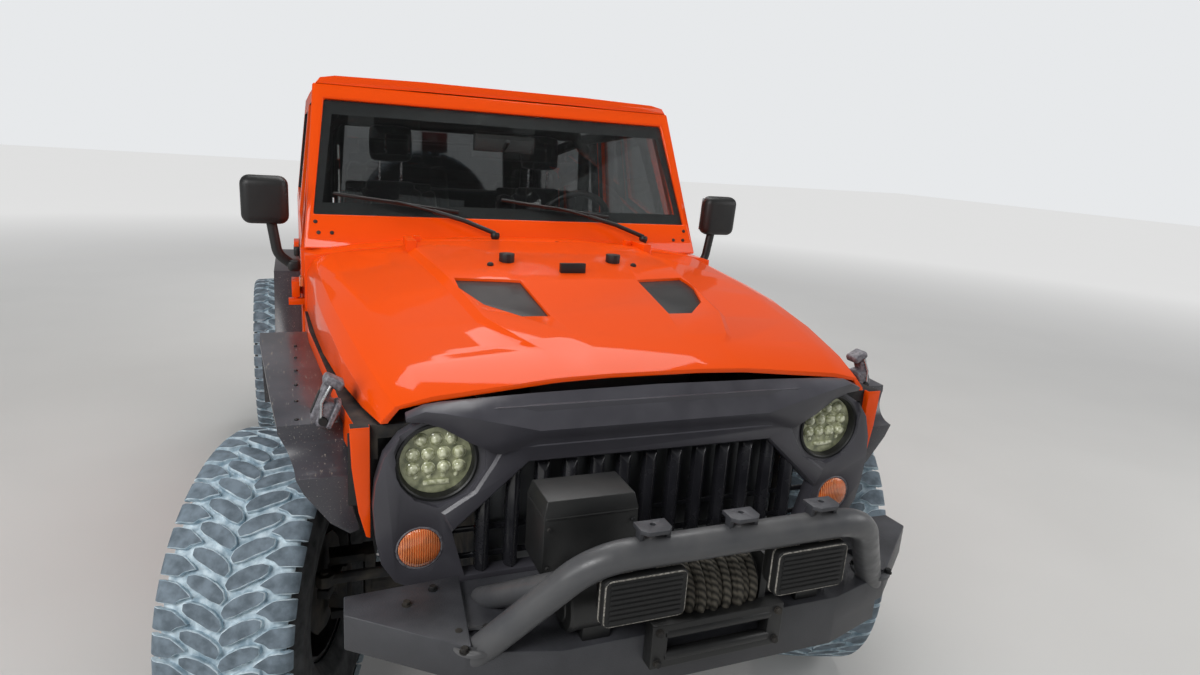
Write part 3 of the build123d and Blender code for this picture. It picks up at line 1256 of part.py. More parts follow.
# Tyre and rim, built about the origin with the axle along Z and the wheel's lowest point on +X
TYRE_SIDES = 20
FLAT_TURN = 180.0 / TYRE_SIDES
LUG = ((-LUG_OUT, -LUG_REACH), (-LUG_OUT, 22), (0, LUG_REACH), (LUG_OUT, 22), (LUG_OUT, -LUG_REACH), (0, -22))
TYRE_STEPS = (
    # out from the middle, radius
    (-TYRE_W / 2, SHOULDER_R),
    (-SHOULDER_OUT, CARCASS_R),
    (SHOULDER_OUT, CARCASS_R),
    (TYRE_W / 2, SHOULDER_R),
)
DISH_OUT = RIM_HALF + 4.0
TREAD = Plane(origin=(0, 0, 0), x_dir=(0, 0, 1), z_dir=(1, 0, 0))
with BuildPart() as tyre:
    for out, radius in TYRE_STEPS:
        with BuildSketch(Plane.XY.offset(out)):
            RegularPolygon(radius, TYRE_SIDES, rotation=FLAT_TURN)
    loft(ruled=True)
    for side in (-1, 1):
        with BuildPart(mode=Mode.SUBTRACT):
            for out, radius in ((TYRE_W / 2, DISH_R), (DISH_OUT, BEAD_R)):
                with BuildSketch(Plane.XY.offset(side * out)):
                    RegularPolygon(radius, TYRE_SIDES, rotation=FLAT_TURN)
            loft(ruled=True)
    with BuildSketch(Plane.XY.offset(-TYRE_W / 2)):
        RegularPolygon(BEAD_R, TYRE_SIDES, rotation=FLAT_TURN)
    extrude(amount=TYRE_W, mode=Mode.SUBTRACT)
    for i in range(LUG_COUNT):
        with BuildSketch(TREAD.rotated((0, 0, i * 360 / LUG_COUNT)).offset(AXLE_Z - LUG_T)):
            Polygon(*LUG, align=None)
        extrude(amount=LUG_T)
WINDOW_AT = 134.0
WINDOW_R_OUT = 36.0
with BuildPart() as rim:
    with BuildSketch(Plane.XY.offset(-RIM_HALF)):
        RegularPolygon(BEAD_R, TYRE_SIDES, rotation=FLAT_TURN)
        RegularPolygon(BEAD_R - BARREL_T, TYRE_SIDES, rotation=FLAT_TURN, mode=Mode.SUBTRACT)
    extrude(amount=2 * RIM_HALF)
    with BuildSketch(Plane.XY.offset(HUB_IN)):
        RegularPolygon(BEAD_R - BARREL_T, TYRE_SIDES, rotation=FLAT_TURN)
        with PolarLocations(WINDOW_AT, WINDOW_COUNT):
            RegularPolygon(WINDOW_R_OUT, 6, mode=Mode.SUBTRACT)
    extrude(amount=DISC_T)
    with BuildSketch(Plane.XY.offset(HUB_IN)):
        RegularPolygon(HUB_R, PIPE_SIDES)
    extrude(amount=DISC_T + 8)
    with BuildSketch(Plane.XY.offset(HUB_IN)):
        RegularPolygon(HUB_BORE_R, STUB_SIDES, major_radius=False)
    extrude(amount=DISC_T + 8, mode=Mode.SUBTRACT)

# Road wheels
STEER = radians(STEER_REST)
OFFSET = TRACK_HALF - KINGPIN_X
WHEELS = (
    # name, side, kingpin_x, offset, axle_a, turned
    ("front_right", -1, KINGPIN_X, OFFSET, 0.0, STEER),
    ("front_left", 1, KINGPIN_X, OFFSET, 0.0, STEER),
    ("rear_right", -1, TRACK_HALF, 0.0, WHEELBASE, 0.0),
    ("rear_left", 1, TRACK_HALF, 0.0, WHEELBASE, 0.0),
)
for name, side, pivot_x, offset, axle_a, turned in WHEELS:
    out = (side * cos(turned), side * sin(turned), 0)
    centre = (side * pivot_x + out[0] * offset, AXLE_Y + axle_a + out[1] * offset, AXLE_Z)
    place = Plane(origin=centre, x_dir=(0, 0, -1), z_dir=out).location
    for kind, piece in (("tyre", tyre), ("rim", rim)):
        wheel_piece = piece.part.moved(place)
        wheel_piece.label = kind + "_" + name
        export_step(wheel_piece, "parts/" + kind + "_" + name + ".step")

# Spare wheel on its carrier, with the high brake lamp above
SPARE_X = 50.0
SPARE_Z = 1165.0
SPARE_MIDDLE_A = SPARE_A + TYRE_W / 2
spare_place = Plane(origin=(SPARE_X, AXLE_Y + SPARE_MIDDLE_A, SPARE_Z), x_dir=(0, 0, -1), z_dir=(0, 1, 0)).location
spare_tyre = tyre.part.moved(spare_place)
spare_tyre.label = "spare_tyre"
export_step(spare_tyre, "parts/spare_tyre.step")
GATE_FACE_A = BODY_BACK_A + 30.0
with BuildPart(TOP) as spare_carrier:
    add(rim.part.moved(HOME * spare_place))
    rod((SPARE_X, GATE_FACE_A, SPARE_Z), (SPARE_X, SPARE_MIDDLE_A + 80, SPARE_Z), HUB_R, PIPE_SIDES)
    with Locations((SPARE_X, GATE_FACE_A + 8, SPARE_Z)):
        Box(300, 16, 190)
    with Locations((SPARE_X + 20, GATE_FACE_A + 20, SPARE_Z)):
        Box(40, 16, 430, align=BASE)
spare_carrier.part.label = "spare_carrier"
export_step(spare_carrier.part, "parts/spare_carrier.step")

with BuildPart(TOP) as brake_lamp:
    with Locations((SPARE_X + 20, GATE_FACE_A + 20, SPARE_Z + 430)):
        Box(164, 40, 128, align=BASE)
brake_lamp.part.label = "brake_lamp"
export_step(brake_lamp.part, "parts/brake_lamp.step")

# Steering knuckles and tie rod
POST_HALF = 68.0
SPINDLE_END = OFFSET + HUB_IN - 8
STUD_R = 10.0
DISC_R = 145.0
with BuildPart() as knuckle:
    Box(2 * POST_HALF, 52, 52)
    with BuildSketch(Plane.YZ.offset(6 - EAR_HALF)):
        RegularPolygon(KINGPIN_R, PIPE_SIDES)
    extrude(amount=2 * EAR_HALF - 12)
    with BuildSketch(Plane.XY):
        RegularPolygon(SPINDLE_R, PIPE_SIDES)
    extrude(amount=SPINDLE_END)
    with BuildSketch(Plane.XY):
        RegularPolygon(STUB_R, STUB_SIDES)
    extrude(amount=SPINDLE_END + STUB_LONG)
    with BuildSketch(Plane.XY.offset(42)):
        RegularPolygon(DISC_R, BAR_SIDES)
    extrude(amount=8)
    with Locations((-54, (ARM_REACH + 18) / 2, 0)):
        Box(24, ARM_REACH + 18, 32)
    with BuildSketch(Plane.YZ.offset(-TIE_RISE - 24)):
        with Locations((ARM_REACH, 0)):
            RegularPolygon(STUD_R, PIPE_SIDES)
    extrude(amount=48)
for name, side in (("right", -1), ("left", 1)):
    out = (side * cos(STEER), side * sin(STEER), 0)
    place = Plane(origin=(side * KINGPIN_X, AXLE_Y, AXLE_Z), x_dir=(0, 0, -1), z_dir=out).location
    shape = knuckle.part if side < 0 else mirror(knuckle.part, about=Plane.XZ)
    turned_knuckle = shape.moved(place)
    turned_knuckle.label = "knuckle_" + name
    export_step(turned_knuckle, "parts/knuckle_" + name + ".step")

TIE_SHIFT = ARM_REACH * sin(STEER)
TIE_A = -ARM_REACH * cos(STEER)
with BuildPart(TOP) as tie_rod:
    rod((-KINGPIN_X + TIE_SHIFT, TIE_A, TIE_Z), (KINGPIN_X + TIE_SHIFT, TIE_A, TIE_Z), TIE_R)
    for x in (-KINGPIN_X + TIE_SHIFT, KINGPIN_X + TIE_SHIFT):
        rod((x, TIE_A, TIE_Z - 15), (x, TIE_A, TIE_Z + 17), 25)
        bore((x, TIE_A, TIE_Z - 20), (x, TIE_A, TIE_Z + 20), STUD_R)
tie_rod.part.label = "tie_rod"
export_step(tie_rod.part, "parts/tie_rod.step")

# Steering wheel
TILT = radians(WHEEL_TILT)
GRIP_MIDDLE = WHEEL_R - GRIP_R
COLUMN_TOP = Plane(origin=(WHEEL_X, AXLE_Y + WHEEL_A, WHEEL_Z), x_dir=(1, 0, 0), z_dir=(0, cos(TILT), sin(TILT)))
with BuildPart(COLUMN_TOP) as steering_wheel:
    with BuildSketch(COLUMN_TOP.offset(-GRIP_R)):
        RegularPolygon(WHEEL_R, LAMP_SIDES)
        RegularPolygon(WHEEL_R - 2 * GRIP_R, LAMP_SIDES, mode=Mode.SUBTRACT)
    extrude(amount=2 * GRIP_R)
    with BuildSketch(COLUMN_TOP.offset(-70)):
        RegularPolygon(SHAFT_R, PIPE_SIDES)
    extrude(amount=60)
    with BuildSketch(COLUMN_TOP.offset(-40)):
        RegularPolygon(HUB_R, PIPE_SIDES)
    extrude(amount=34)
    with Locations((0, 0, -14)):
        Box(2 * GRIP_MIDDLE - 4, 44, 18)
    with Locations((0, -GRIP_MIDDLE / 2, -14)):
        Box(50, GRIP_MIDDLE - 2, 18)
steering_wheel.part.label = "steering_wheel"
export_step(steering_wheel.part, "parts/steering_wheel.step")
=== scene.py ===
"""The finishes and fine pieces of a lifted two-door off-road car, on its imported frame.

Lengths are in metres in the frame's own space: +Z is up, the car faces -Y and +X is its left.
Points of pieces are in millimetres from the front axle's middle, on the ground.
"""

import json
from math import cos, exp, pi, radians, sin, tan

import bmesh
import bpy
from bpy.props import FloatProperty, FloatVectorProperty, IntProperty, PointerProperty
from mathutils import Euler, Matrix, Quaternion, Vector
from mathutils.bvhtree import BVHTree


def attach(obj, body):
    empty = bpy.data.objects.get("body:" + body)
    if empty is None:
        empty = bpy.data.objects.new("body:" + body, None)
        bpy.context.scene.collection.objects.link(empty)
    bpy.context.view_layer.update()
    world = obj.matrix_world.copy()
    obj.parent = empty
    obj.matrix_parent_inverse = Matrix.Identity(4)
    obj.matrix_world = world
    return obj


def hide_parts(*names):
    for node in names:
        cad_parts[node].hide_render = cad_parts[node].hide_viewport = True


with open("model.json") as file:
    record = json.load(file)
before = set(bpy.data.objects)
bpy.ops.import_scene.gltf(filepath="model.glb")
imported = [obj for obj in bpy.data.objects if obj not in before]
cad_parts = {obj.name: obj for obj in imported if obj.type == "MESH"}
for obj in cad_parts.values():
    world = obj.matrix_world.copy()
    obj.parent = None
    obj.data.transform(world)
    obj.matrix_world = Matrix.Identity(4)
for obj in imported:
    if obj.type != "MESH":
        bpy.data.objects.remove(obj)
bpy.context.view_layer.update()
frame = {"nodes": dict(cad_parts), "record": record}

bl_info = {
    "name": "Off-road car finishes",
    "version": (1, 0, 0),
    "blender": (4, 5, 0),
    "location": "View3D > Sidebar > Car",
    "description": "Dresses the packed car with paint, rubber, glass and cloth, and adds its fine pieces",
    "category": "Object",
}

MM = 0.001

JOINTS = {joint["name"]: joint for joint in frame["record"]["behaviour"]["joints"]}
AXLE_Y = JOINTS["steer_right"]["pos_m"][1]
AXLE_Z = JOINTS["steer_right"]["pos_m"][2]


def at(x, behind_axle, z):
    """A point given in millimetres from the front axle's middle, on the ground."""
    return Vector((x * MM, AXLE_Y + behind_axle * MM, z * MM))


def turn_by(degrees):
    """A turn by three angles in degrees, about X, then Y, then Z."""
    return Euler([radians(angle) for angle in degrees]).to_matrix().to_4x4()


def shifted(x=0.0, y=0.0, z=0.0):
    """A move in millimetres."""
    return Matrix.Translation((x * MM, y * MM, z * MM))


def spot(x, behind_axle, z, turn=(0.0, 0.0, 0.0)):
    """A place for a small shape: its point, and its turn in degrees."""
    return Matrix.Translation(at(x, behind_axle, z)) @ turn_by(turn)


def both_sides(x, behind_axle, z, turn=(0.0, 0.0, 0.0)):
    """The right and the left place of a pair of small shapes."""
    return [spot(side * x, behind_axle, z, turn) for side in (-1, 1)]


# Turns that point a shape's own Z axis to the front, the back and the left
FACING_FRONT = (90.0, 0.0, 0.0)
FACING_BACK = (-90.0, 0.0, 0.0)
FACING_LEFT = (0.0, 90.0, 0.0)


# Nodes, colours and shared patterns


def linear(hex_colour, alpha=1.0):
    """An sRGB hex colour as the linear values that shaders take."""
    channels = []
    for start in (1, 3, 5):
        value = int(hex_colour[start:start + 2], 16) / 255
        channels.append(value / 12.92 if value <= 0.04045 else ((value + 0.055) / 1.055) ** 2.4)
    return (*channels, alpha)


def add_node(tree, kind, inputs=None, **settings):
    """Adds one node. An input is a plain value, or (node, output) for a link."""
    node = tree.nodes.new(kind)
    for name, value in settings.items():
        setattr(node, name, value)
    for key, value in (inputs or {}).items():
        if isinstance(value, tuple) and isinstance(value[0], bpy.types.Node):
            tree.links.new(value[0].outputs[value[1]], node.inputs[key])
        else:
            node.inputs[key].default_value = value
    return node


def start_finish(name, colour, roughness, **values):
    """A new material with one Principled shader: (tree, shader, object coordinates)."""
    if name in bpy.data.materials:
        raise RuntimeError("the frame already has a material named " + name)
    material = bpy.data.materials.new(name)
    material.use_nodes = True
    tree = material.node_tree
    tree.nodes.clear()
    inputs = {"Base Color": linear(colour), "Roughness": roughness}
    inputs.update({key.replace("_", " "): value for key, value in values.items()})
    shader = add_node(tree, "ShaderNodeBsdfPrincipled", inputs)
    add_node(tree, "ShaderNodeOutputMaterial", {"Surface": (shader, 0)})
    return tree, shader, add_node(tree, "ShaderNodeTexCoord")


def grain(tree, place, size_mm, detail=2.0, low=0.35, high=0.65):
    """Soft random patches of about that size, from 0 to 1."""
    noise = add_node(
        tree, "ShaderNodeTexNoise",
        {"Vector": (place, "Object"), "Scale": 1 / (size_mm * MM), "Detail": detail},
    )
    return add_node(
        tree, "ShaderNodeMapRange", {"Value": (noise, 0), "From Min": low, "From Max": high},
    )


# A wave texture at scale 1 has a wave every this many metres.
WAVE_AT_ONE = 0.31416


def ribs(tree, place, direction, pitch_mm, distortion=0.0):
    """Even round ribs at that pitch, from 0 to 1."""
    return add_node(
        tree, "ShaderNodeTexWave",
        {
            "Vector": (place, "Object"), "Scale": WAVE_AT_ONE / (pitch_mm * MM),
            "Distortion": distortion,
        },
        bands_direction=direction,
    )


def vary(tree, shader, pattern, socket, low, high):
    """Drives a number on the shader from low to high by a 0 to 1 pattern."""
    spread = add_node(tree, "ShaderNodeMapRange", {"Value": (pattern, 0), "To Min": low, "To Max": high})
    tree.links.new(spread.outputs[0], shader.inputs[socket])


def blend_colour(tree, factor, first, second):
    """A colour between two, each a hex colour or a (node, output)."""
    ends = [linear(end) if isinstance(end, str) else end for end in (first, second)]
    return add_node(
        tree, "ShaderNodeMix", {0: (factor, 0), 6: ends[0], 7: ends[1]}, data_type="RGBA",
    )


def paint(tree, shader, factor, first, second):
    """Colours the shader between two colours by a 0 to 1 pattern."""
    mix = blend_colour(tree, factor, first, second)
    tree.links.new(mix.outputs[2], shader.inputs["Base Color"])


def rough_up(tree, shader, pattern, depth_mm, strength=1.0):
    """Turns a pattern into relief of about that depth."""
    bump = add_node(
        tree, "ShaderNodeBump",
        {"Height": (pattern, 0), "Distance": depth_mm * MM, "Strength": strength},
    )
    tree.links.new(bump.outputs[0], shader.inputs["Normal"])
    return bump


def settled_dust(tree, place, size_mm, amount):
    """Dust that lies on faces that look up, in patches: 0 to amount."""
    patches = grain(tree, place, size_mm, detail=6.0, low=0.3, high=0.75)
    geometry = add_node(tree, "ShaderNodeNewGeometry")
    axes = add_node(tree, "ShaderNodeSeparateXYZ", {0: (geometry, "Normal")})
    facing_up = add_node(
        tree, "ShaderNodeMapRange",
        {"Value": (axes, 2), "From Min": -0.2, "From Max": 1.0, "To Min": 0.25, "To Max": 1.0},
    )
    both = add_node(tree, "ShaderNodeMath", {0: (patches, 0), 1: (facing_up, 0)}, operation="MULTIPLY")
    return add_node(tree, "ShaderNodeMath", {0: (both, 0), 1: amount}, operation="MULTIPLY")


def any_ray(tree, *kinds):
    """1 for rays of these kinds of the Light Path node, and 0 for others: (node, output)."""
    path = add_node(tree, "ShaderNodeLightPath")
    found = (path, kinds[0])
    for kind in kinds[1:]:
        either = add_node(tree, "ShaderNodeMath", {0: found, 1: (path, kind)}, operation="MAXIMUM")
        found = (either, 0)
    return found


# Finishes, each named for what the real one is


def orange_enamel():
    """Solid orange car enamel under clear coat, sprayed: deep gloss with faint orange peel."""
    tree, shader, place = start_finish(
        "orange_enamel", "#FB5304", 0.5, Specular_IOR_Level=0.05,
        Coat_Weight=0.45, Coat_Roughness=0.05, Coat_IOR=1.5,
    )
    paint(tree, shader, settled_dust(tree, place, 180.0, 0.03), "#FB5304", "#D08050")
    bump = rough_up(tree, shader, grain(tree, place, 6.0), 0.01, 0.12)
    tree.links.new(bump.outputs[0], shader.inputs["Coat Normal"])


def satin_black_moulding():
    """Moulded ABS in satin black, as on the grille: soft sheen, a fine grain and light dust."""
    tree, shader, place = start_finish("satin_black_moulding", "#424147", 0.34, IOR=1.5)
    paint(tree, shader, settled_dust(tree, place, 120.0, 0.25), "#424147", "#7E7E86")
    vary(tree, shader, grain(tree, place, 60.0, 4.0), "Roughness", 0.28, 0.4)
    rough_up(tree, shader, grain(tree, place, 1.6), 0.02, 0.3)


def gloss_black_moulding():
    """Moulded ABS in near-gloss black, as on the grille's slats: dark, with bright bevels."""
    tree, shader, place = start_finish("gloss_black_moulding", "#1F1F23", 0.2, IOR=1.53)
    paint(tree, shader, settled_dust(tree, place, 80.0, 0.2), "#1F1F23", "#6C6C74")
    vary(tree, shader, grain(tree, place, 40.0, 4.0), "Roughness", 0.16, 0.3)


def textured_black_powder():
    """Wrinkle powder coat on plate steel, as on the bumper: rough black with grey dust."""
    tree, shader, place = start_finish("textured_black_powder", "#36373B", 0.46, IOR=1.5)
    paint(tree, shader, settled_dust(tree, place, 90.0, 0.3), "#36373B", "#7C7C82")
    rough_up(tree, shader, grain(tree, place, 3.0, 3.0), 0.3, 0.7)


def satin_grey_enamel():
    """Satin charcoal enamel on steel tube, worn smooth: the hoop's broad soft shine."""
    tree, shader, place = start_finish("satin_grey_enamel", "#4C4D50", 0.34, IOR=1.5)
    paint(tree, shader, settled_dust(tree, place, 70.0, 0.3), "#4A4B4E", "#8A8884")
    vary(tree, shader, grain(tree, place, 25.0, 5.0), "Roughness", 0.3, 0.46)
    rough_up(tree, shader, grain(tree, place, 2.0), 0.04, 0.4)


def scratched_flare_paint():
    """Thin sheet steel in satin black, scraped: long pale scratches and grey dust."""
    # The noise has patches 38 mm long, and the scale across makes each a scratch 4 mm wide.
    tree, shader, place = start_finish("scratched_flare_paint", "#3C3D43", 0.28, IOR=1.5)
    stretched = add_node(
        tree, "ShaderNodeMapping", {"Vector": (place, "Object"), "Scale": (9.0, 1.0, 9.0)},
    )
    streaks = add_node(
        tree, "ShaderNodeTexNoise", {"Vector": (stretched, 0), "Scale": 26.0, "Detail": 8.0},
    )
    lines = add_node(
        tree, "ShaderNodeMapRange", {"Value": (streaks, 0), "From Min": 0.62, "From Max": 0.7},
    )
    dusty = blend_colour(tree, settled_dust(tree, place, 140.0, 0.35), "#3C3D43", "#77737A")
    scraped = blend_colour(tree, lines, (dusty, 2), "#8C8881")
    tree.links.new(scraped.outputs[2], shader.inputs["Base Color"])
    vary(tree, shader, lines, "Roughness", 0.3, 0.5)


def brushed_chassis_black():
    """Brushed-on chassis black over steel, with dried road dirt."""
    tree, shader, place = start_finish("brushed_chassis_black", "#1A1917", 0.7, IOR=1.45)
    dirt = grain(tree, place, 60.0, 8.0, 0.42, 0.7)
    paint(tree, shader, dirt, "#17181A", "#423D36")
    rough_up(tree, shader, dirt, 0.8, 0.6)


def grained_black_plastic():
    """Grained black polypropylene, as on mirrors, wipers and the dashboard."""
    tree, shader, place = start_finish("grained_black_plastic", "#151617", 0.45, IOR=1.49)
    paint(tree, shader, settled_dust(tree, place, 90.0, 0.18), "#151617", "#5A5853")
    rough_up(tree, shader, grain(tree, place, 1.8, 1.0), 0.1, 0.5)


def grey_nylon_latch():
    """Weathered glass-filled nylon, as on the hood's latches: grey, chalky in random patches."""
    tree, shader, place = start_finish("grey_nylon_latch", "#6E6D73", 0.42, IOR=1.53)
    paint(tree, shader, grain(tree, place, 9.0, 5.0), "#57565C", "#86848A")
    rough_up(tree, shader, grain(tree, place, 1.2, 2.0), 0.1, 0.4)


def tread_rubber():
    """Carbon-black rubber, worn grey on the lugs' tops."""
    tree, shader, place = start_finish("tread_rubber", "#6B7984", 0.75, IOR=1.5)
    paint(tree, shader, grain(tree, place, 30.0, 7.0), "#5C6973", "#808F9B")
    rough_up(tree, shader, grain(tree, place, 2.5, 3.0), 0.3, 0.6)


def dusty_rubber():
    """The same rubber down in the grooves and on the lugs' edges, under pale dust."""
    tree, shader, place = start_finish("dusty_rubber", "#BCD0DC", 0.9, IOR=1.5)
    paint(tree, shader, grain(tree, place, 22.0, 7.0), "#98AEBB", "#DFEDF4")
    rough_up(tree, shader, grain(tree, place, 1.5, 3.0), 0.3, 0.6)


def side_wall_rubber():
    """Moulded side wall of the tyre: dark rubber with dried splashes."""
    tree, shader, place = start_finish("side_wall_rubber", "#2B2D30", 0.75, IOR=1.5)
    paint(tree, shader, grain(tree, place, 40.0, 7.0), "#26282B", "#4C4E50")
    rough_up(tree, shader, grain(tree, place, 1.5, 3.0), 0.2, 0.5)


def wheel_paint():
    """Cast alloy wheel, satin black paint with brake dust."""
    tree, shader, place = start_finish("wheel_paint", "#17181A", 0.34, IOR=1.5)
    paint(tree, shader, settled_dust(tree, place, 40.0, 0.3), "#17181A", "#57514A")
    rough_up(tree, shader, grain(tree, place, 3.0), 0.05, 0.4)


def bright_steel():
    """Zinc-plated and chromed steel, as on bolts, posts and pins."""
    tree, shader, place = start_finish("bright_steel", "#B4B6B8", 0.22, Metallic=1.0)
    vary(tree, shader, grain(tree, place, 6.0, 4.0), "Roughness", 0.14, 0.34)


def clear_glass():
    """Laminated windscreen glass: clear, faintly green, with a thin film of dust."""
    tree, shader, place = start_finish(
        "clear_glass", "#DCE6E2", 0.02, IOR=1.5, Transmission_Weight=1.0, Alpha=0.28,
    )
    vary(tree, shader, grain(tree, place, 90.0, 6.0), "Roughness", 0.01, 0.05)


def tinted_glass():
    """Privacy glass, dark grey through its thickness."""
    tree, shader, place = start_finish(
        "tinted_glass", "#2A2F31", 0.02, IOR=1.5, Transmission_Weight=0.5, Alpha=0.72,
    )
    vary(tree, shader, grain(tree, place, 90.0, 6.0), "Roughness", 0.01, 0.05)


def black_frit():
    """Black ceramic band fired on the windscreen's inner edge."""
    tree, shader, place = start_finish("black_frit", "#0B0C0D", 0.3, IOR=1.5)
    paint(tree, shader, grain(tree, place, 30.0, 3.0), "#090A0B", "#121315")


def amber_lens():
    """Moulded amber acrylic, with upright ribs pressed inside and painted highlights along the ribs."""
    tree, shader, place = start_finish(
        "amber_lens", "#DC5410", 0.14, IOR=1.49, Coat_Weight=0.7, Coat_Roughness=0.05,
    )
    upright = ribs(tree, place, "X", 5.0)
    blotches = blend_colour(tree, grain(tree, place, 34.0, 2.0, 0.42, 0.6), "#E45A10", "#93300A")
    # Painted highlights and painted shade: each rib's crest is a paler amber and its grooves darker.
    painted_rib_light = blend_colour(tree, upright, (blotches, 2), "#F2965A")
    tree.links.new(painted_rib_light.outputs[2], shader.inputs["Base Color"])
    rough_up(tree, shader, upright, 0.8, 0.7)


def red_acrylic():
    """Moulded red acrylic lamp cover with level ribs."""
    tree, shader, place = start_finish("red_acrylic", "#9C1010", 0.12, IOR=1.49, Coat_Weight=0.6)
    level = ribs(tree, place, "Z", 6.0)
    # Painted highlights and painted shade: each rib's crest is a paler red and its grooves darker.
    paint(tree, shader, level, "#7A0808", "#B81814")
    rough_up(tree, shader, level, 0.5, 0.6)


def white_lens():
    """Clear ribbed acrylic over a white reflector, as on a reversing lamp."""
    tree, shader, place = start_finish("white_lens", "#D9DBD8", 0.1, IOR=1.49, Coat_Weight=0.6)
    level = ribs(tree, place, "Z", 6.0)
    # Painted highlights and painted shade: each rib's crest is paler and its grooves darker.
    paint(tree, shader, level, "#B9BCB8", "#E6E7E4")
    rough_up(tree, shader, level, 0.5, 0.6)


def lamp_reflector():
    """Vacuum-plated reflector behind a lens that age has yellowed: pale green-gold, mottled with painted
    shade and painted reflections.
    """
    tree, shader, place = start_finish("lamp_reflector", "#8F9272", 0.3, Metallic=0.35, Coat_Weight=0.6)
    # Painted reflections and painted shade: random patches from a shaded dark green to a lit pale tone.
    paint(tree, shader, grain(tree, place, 26.0, 3.0), "#6F7459", "#B9BC96")


def lamp_projector():
    """Round projector lenses of polycarbonate: glassy and faintly yellow, made bright by painted
    highlights in patches.
    """
    tree, shader, place = start_finish(
        "lamp_projector", "#D6D9B4", 0.08, IOR=1.58, Coat_Weight=1.0, Coat_Roughness=0.03,
    )
    # Painted highlights: random patches up to near white on each lens.
    paint(tree, shader, grain(tree, place, 9.0, 1.0), "#A9AD86", "#E9EBCB")


def woven_seat_cloth():
    """Black woven seat cloth: a fine basket weave, drawn at 3 mm so that it shows."""
    tree, shader, place = start_finish("woven_seat_cloth", "#1B1B1D", 0.9, Sheen_Weight=0.3)
    weave = add_node(
        tree, "ShaderNodeTexChecker", {"Vector": (place, "Object"), "Scale": 1 / (3.0 * MM)},
    )
    mix = add_node(
        tree, "ShaderNodeMix", {0: (weave, 1), 6: linear("#141416"), 7: linear("#2A2A2D")},
        data_type="RGBA",
    )
    tree.links.new(mix.outputs[2], shader.inputs["Base Color"])
    bump = add_node(
        tree, "ShaderNodeBump", {"Height": (weave, 1), "Distance": 0.3 * MM, "Strength": 0.5},
    )
    tree.links.new(bump.outputs[0], shader.inputs["Normal"])


def raw_alloy():
    """Cast aluminium, dull and oily."""
    tree, shader, place = start_finish("raw_alloy", "#6C6E70", 0.5, Metallic=0.9)
    vary(tree, shader, settled_dust(tree, place, 40.0, 0.5), "Roughness", 0.4, 0.8)
    rough_up(tree, shader, grain(tree, place, 2.0, 4.0), 0.3, 0.5)


def plaited_rope():
    """Plaited polyester winch rope, grey and tan with dirt: a slanting plait along each turn."""
    tree, shader, place = start_finish("plaited_rope", "#45423C", 0.85)
    plait = ribs(tree, place, "DIAGONAL", 9.0, 2.0)
    paint(tree, shader, plait, "#26241F", "#625D53")
    rough_up(tree, shader, plait, 1.2, 0.9)


def pale_piping():
    """Pale grey braided piping round the covers of the driving lamps."""
    tree, shader, place = start_finish("pale_piping", "#8A867E", 0.7)
    paint(tree, shader, grain(tree, place, 5.0, 3.0), "#5C5953", "#A5A199")


def lamp_cover_cloth():
    """Black coated canvas of the driving lamps' covers."""
    tree, shader, place = start_finish("lamp_cover_cloth", "#121314", 0.62, IOR=1.45)
    paint(tree, shader, settled_dust(tree, place, 60.0, 0.2), "#111213", "#45433F")
    rough_up(tree, shader, grain(tree, place, 2.0, 2.0), 0.2, 0.5)


FINISHES = (
    orange_enamel, satin_black_moulding, gloss_black_moulding, textured_black_powder,
    satin_grey_enamel, scratched_flare_paint, brushed_chassis_black, grained_black_plastic,
    grey_nylon_latch, tread_rubber, dusty_rubber, side_wall_rubber, wheel_paint, bright_steel,
    clear_glass, tinted_glass, black_frit, amber_lens, red_acrylic, white_lens, lamp_reflector,
    lamp_projector, woven_seat_cloth, raw_alloy, plaited_rope, pale_piping, lamp_cover_cloth,
)


# Making and placing pieces


# Points nearer than this are joined, in millimetres, and faces flatter than this, in degrees
WELD = 0.02
LATHE_WELD = 0.005
FLAT_WITHIN = 0.6


def cad_copy(node):
    """A merged copy of a CAD node's triangles, with flat areas joined."""
    shell = bmesh.new()
    shell.from_mesh(frame["nodes"][node].data)
    bmesh.ops.remove_doubles(shell, verts=shell.verts, dist=WELD * MM)
    bmesh.ops.dissolve_limit(
        shell, angle_limit=radians(FLAT_WITHIN), use_dissolve_boundaries=False,
        verts=shell.verts, edges=shell.edges, delimit=set(),
    )
    return shell


def soften(shell, width_mm, segments=2, sharper_than=28.0):
    """Rounds the edges that are sharper than an angle in degrees."""
    limit = radians(sharper_than)
    edges = [e for e in shell.edges if len(e.link_faces) == 2 and e.calc_face_angle(0) > limit]
    bmesh.ops.bevel(
        shell, geom=edges, offset=width_mm * MM, offset_type="OFFSET", affect="EDGES",
        segments=segments, profile=0.5, material=-1, clamp_overlap=True,
    )


def block(size, rounding, steps=2):
    """A box about its own middle with rounded edges, in millimetres."""
    shape = bmesh.new()
    bmesh.ops.create_cube(shape, size=1.0)
    bmesh.ops.scale(shape, vec=[side * MM for side in size], verts=shape.verts)
    soften(shape, rounding, steps)
    return shape


def plate(outline, thickness, rounding=0.0, corner=0.0):
    """A flat plate in millimetres: outline in XY, thickness up Z, corners rounded in the plane."""
    shape = bmesh.new()
    shape.faces.new([shape.verts.new((x * MM, y * MM, 0.0)) for x, y in outline])
    if corner:
        bmesh.ops.bevel(
            shape, geom=shape.verts[:], offset=corner * MM, affect="VERTICES", segments=3,
            profile=0.5, material=-1, clamp_overlap=True,
        )
    grown = bmesh.ops.extrude_face_region(shape, geom=shape.faces[:])["geom"]
    raised = [part for part in grown if isinstance(part, bmesh.types.BMVert)]
    bmesh.ops.translate(shape, vec=(0.0, 0.0, thickness * MM), verts=raised)
    bmesh.ops.recalc_face_normals(shape, faces=shape.faces)
    if rounding:
        soften(shape, rounding, 1, 60.0)
    return shape


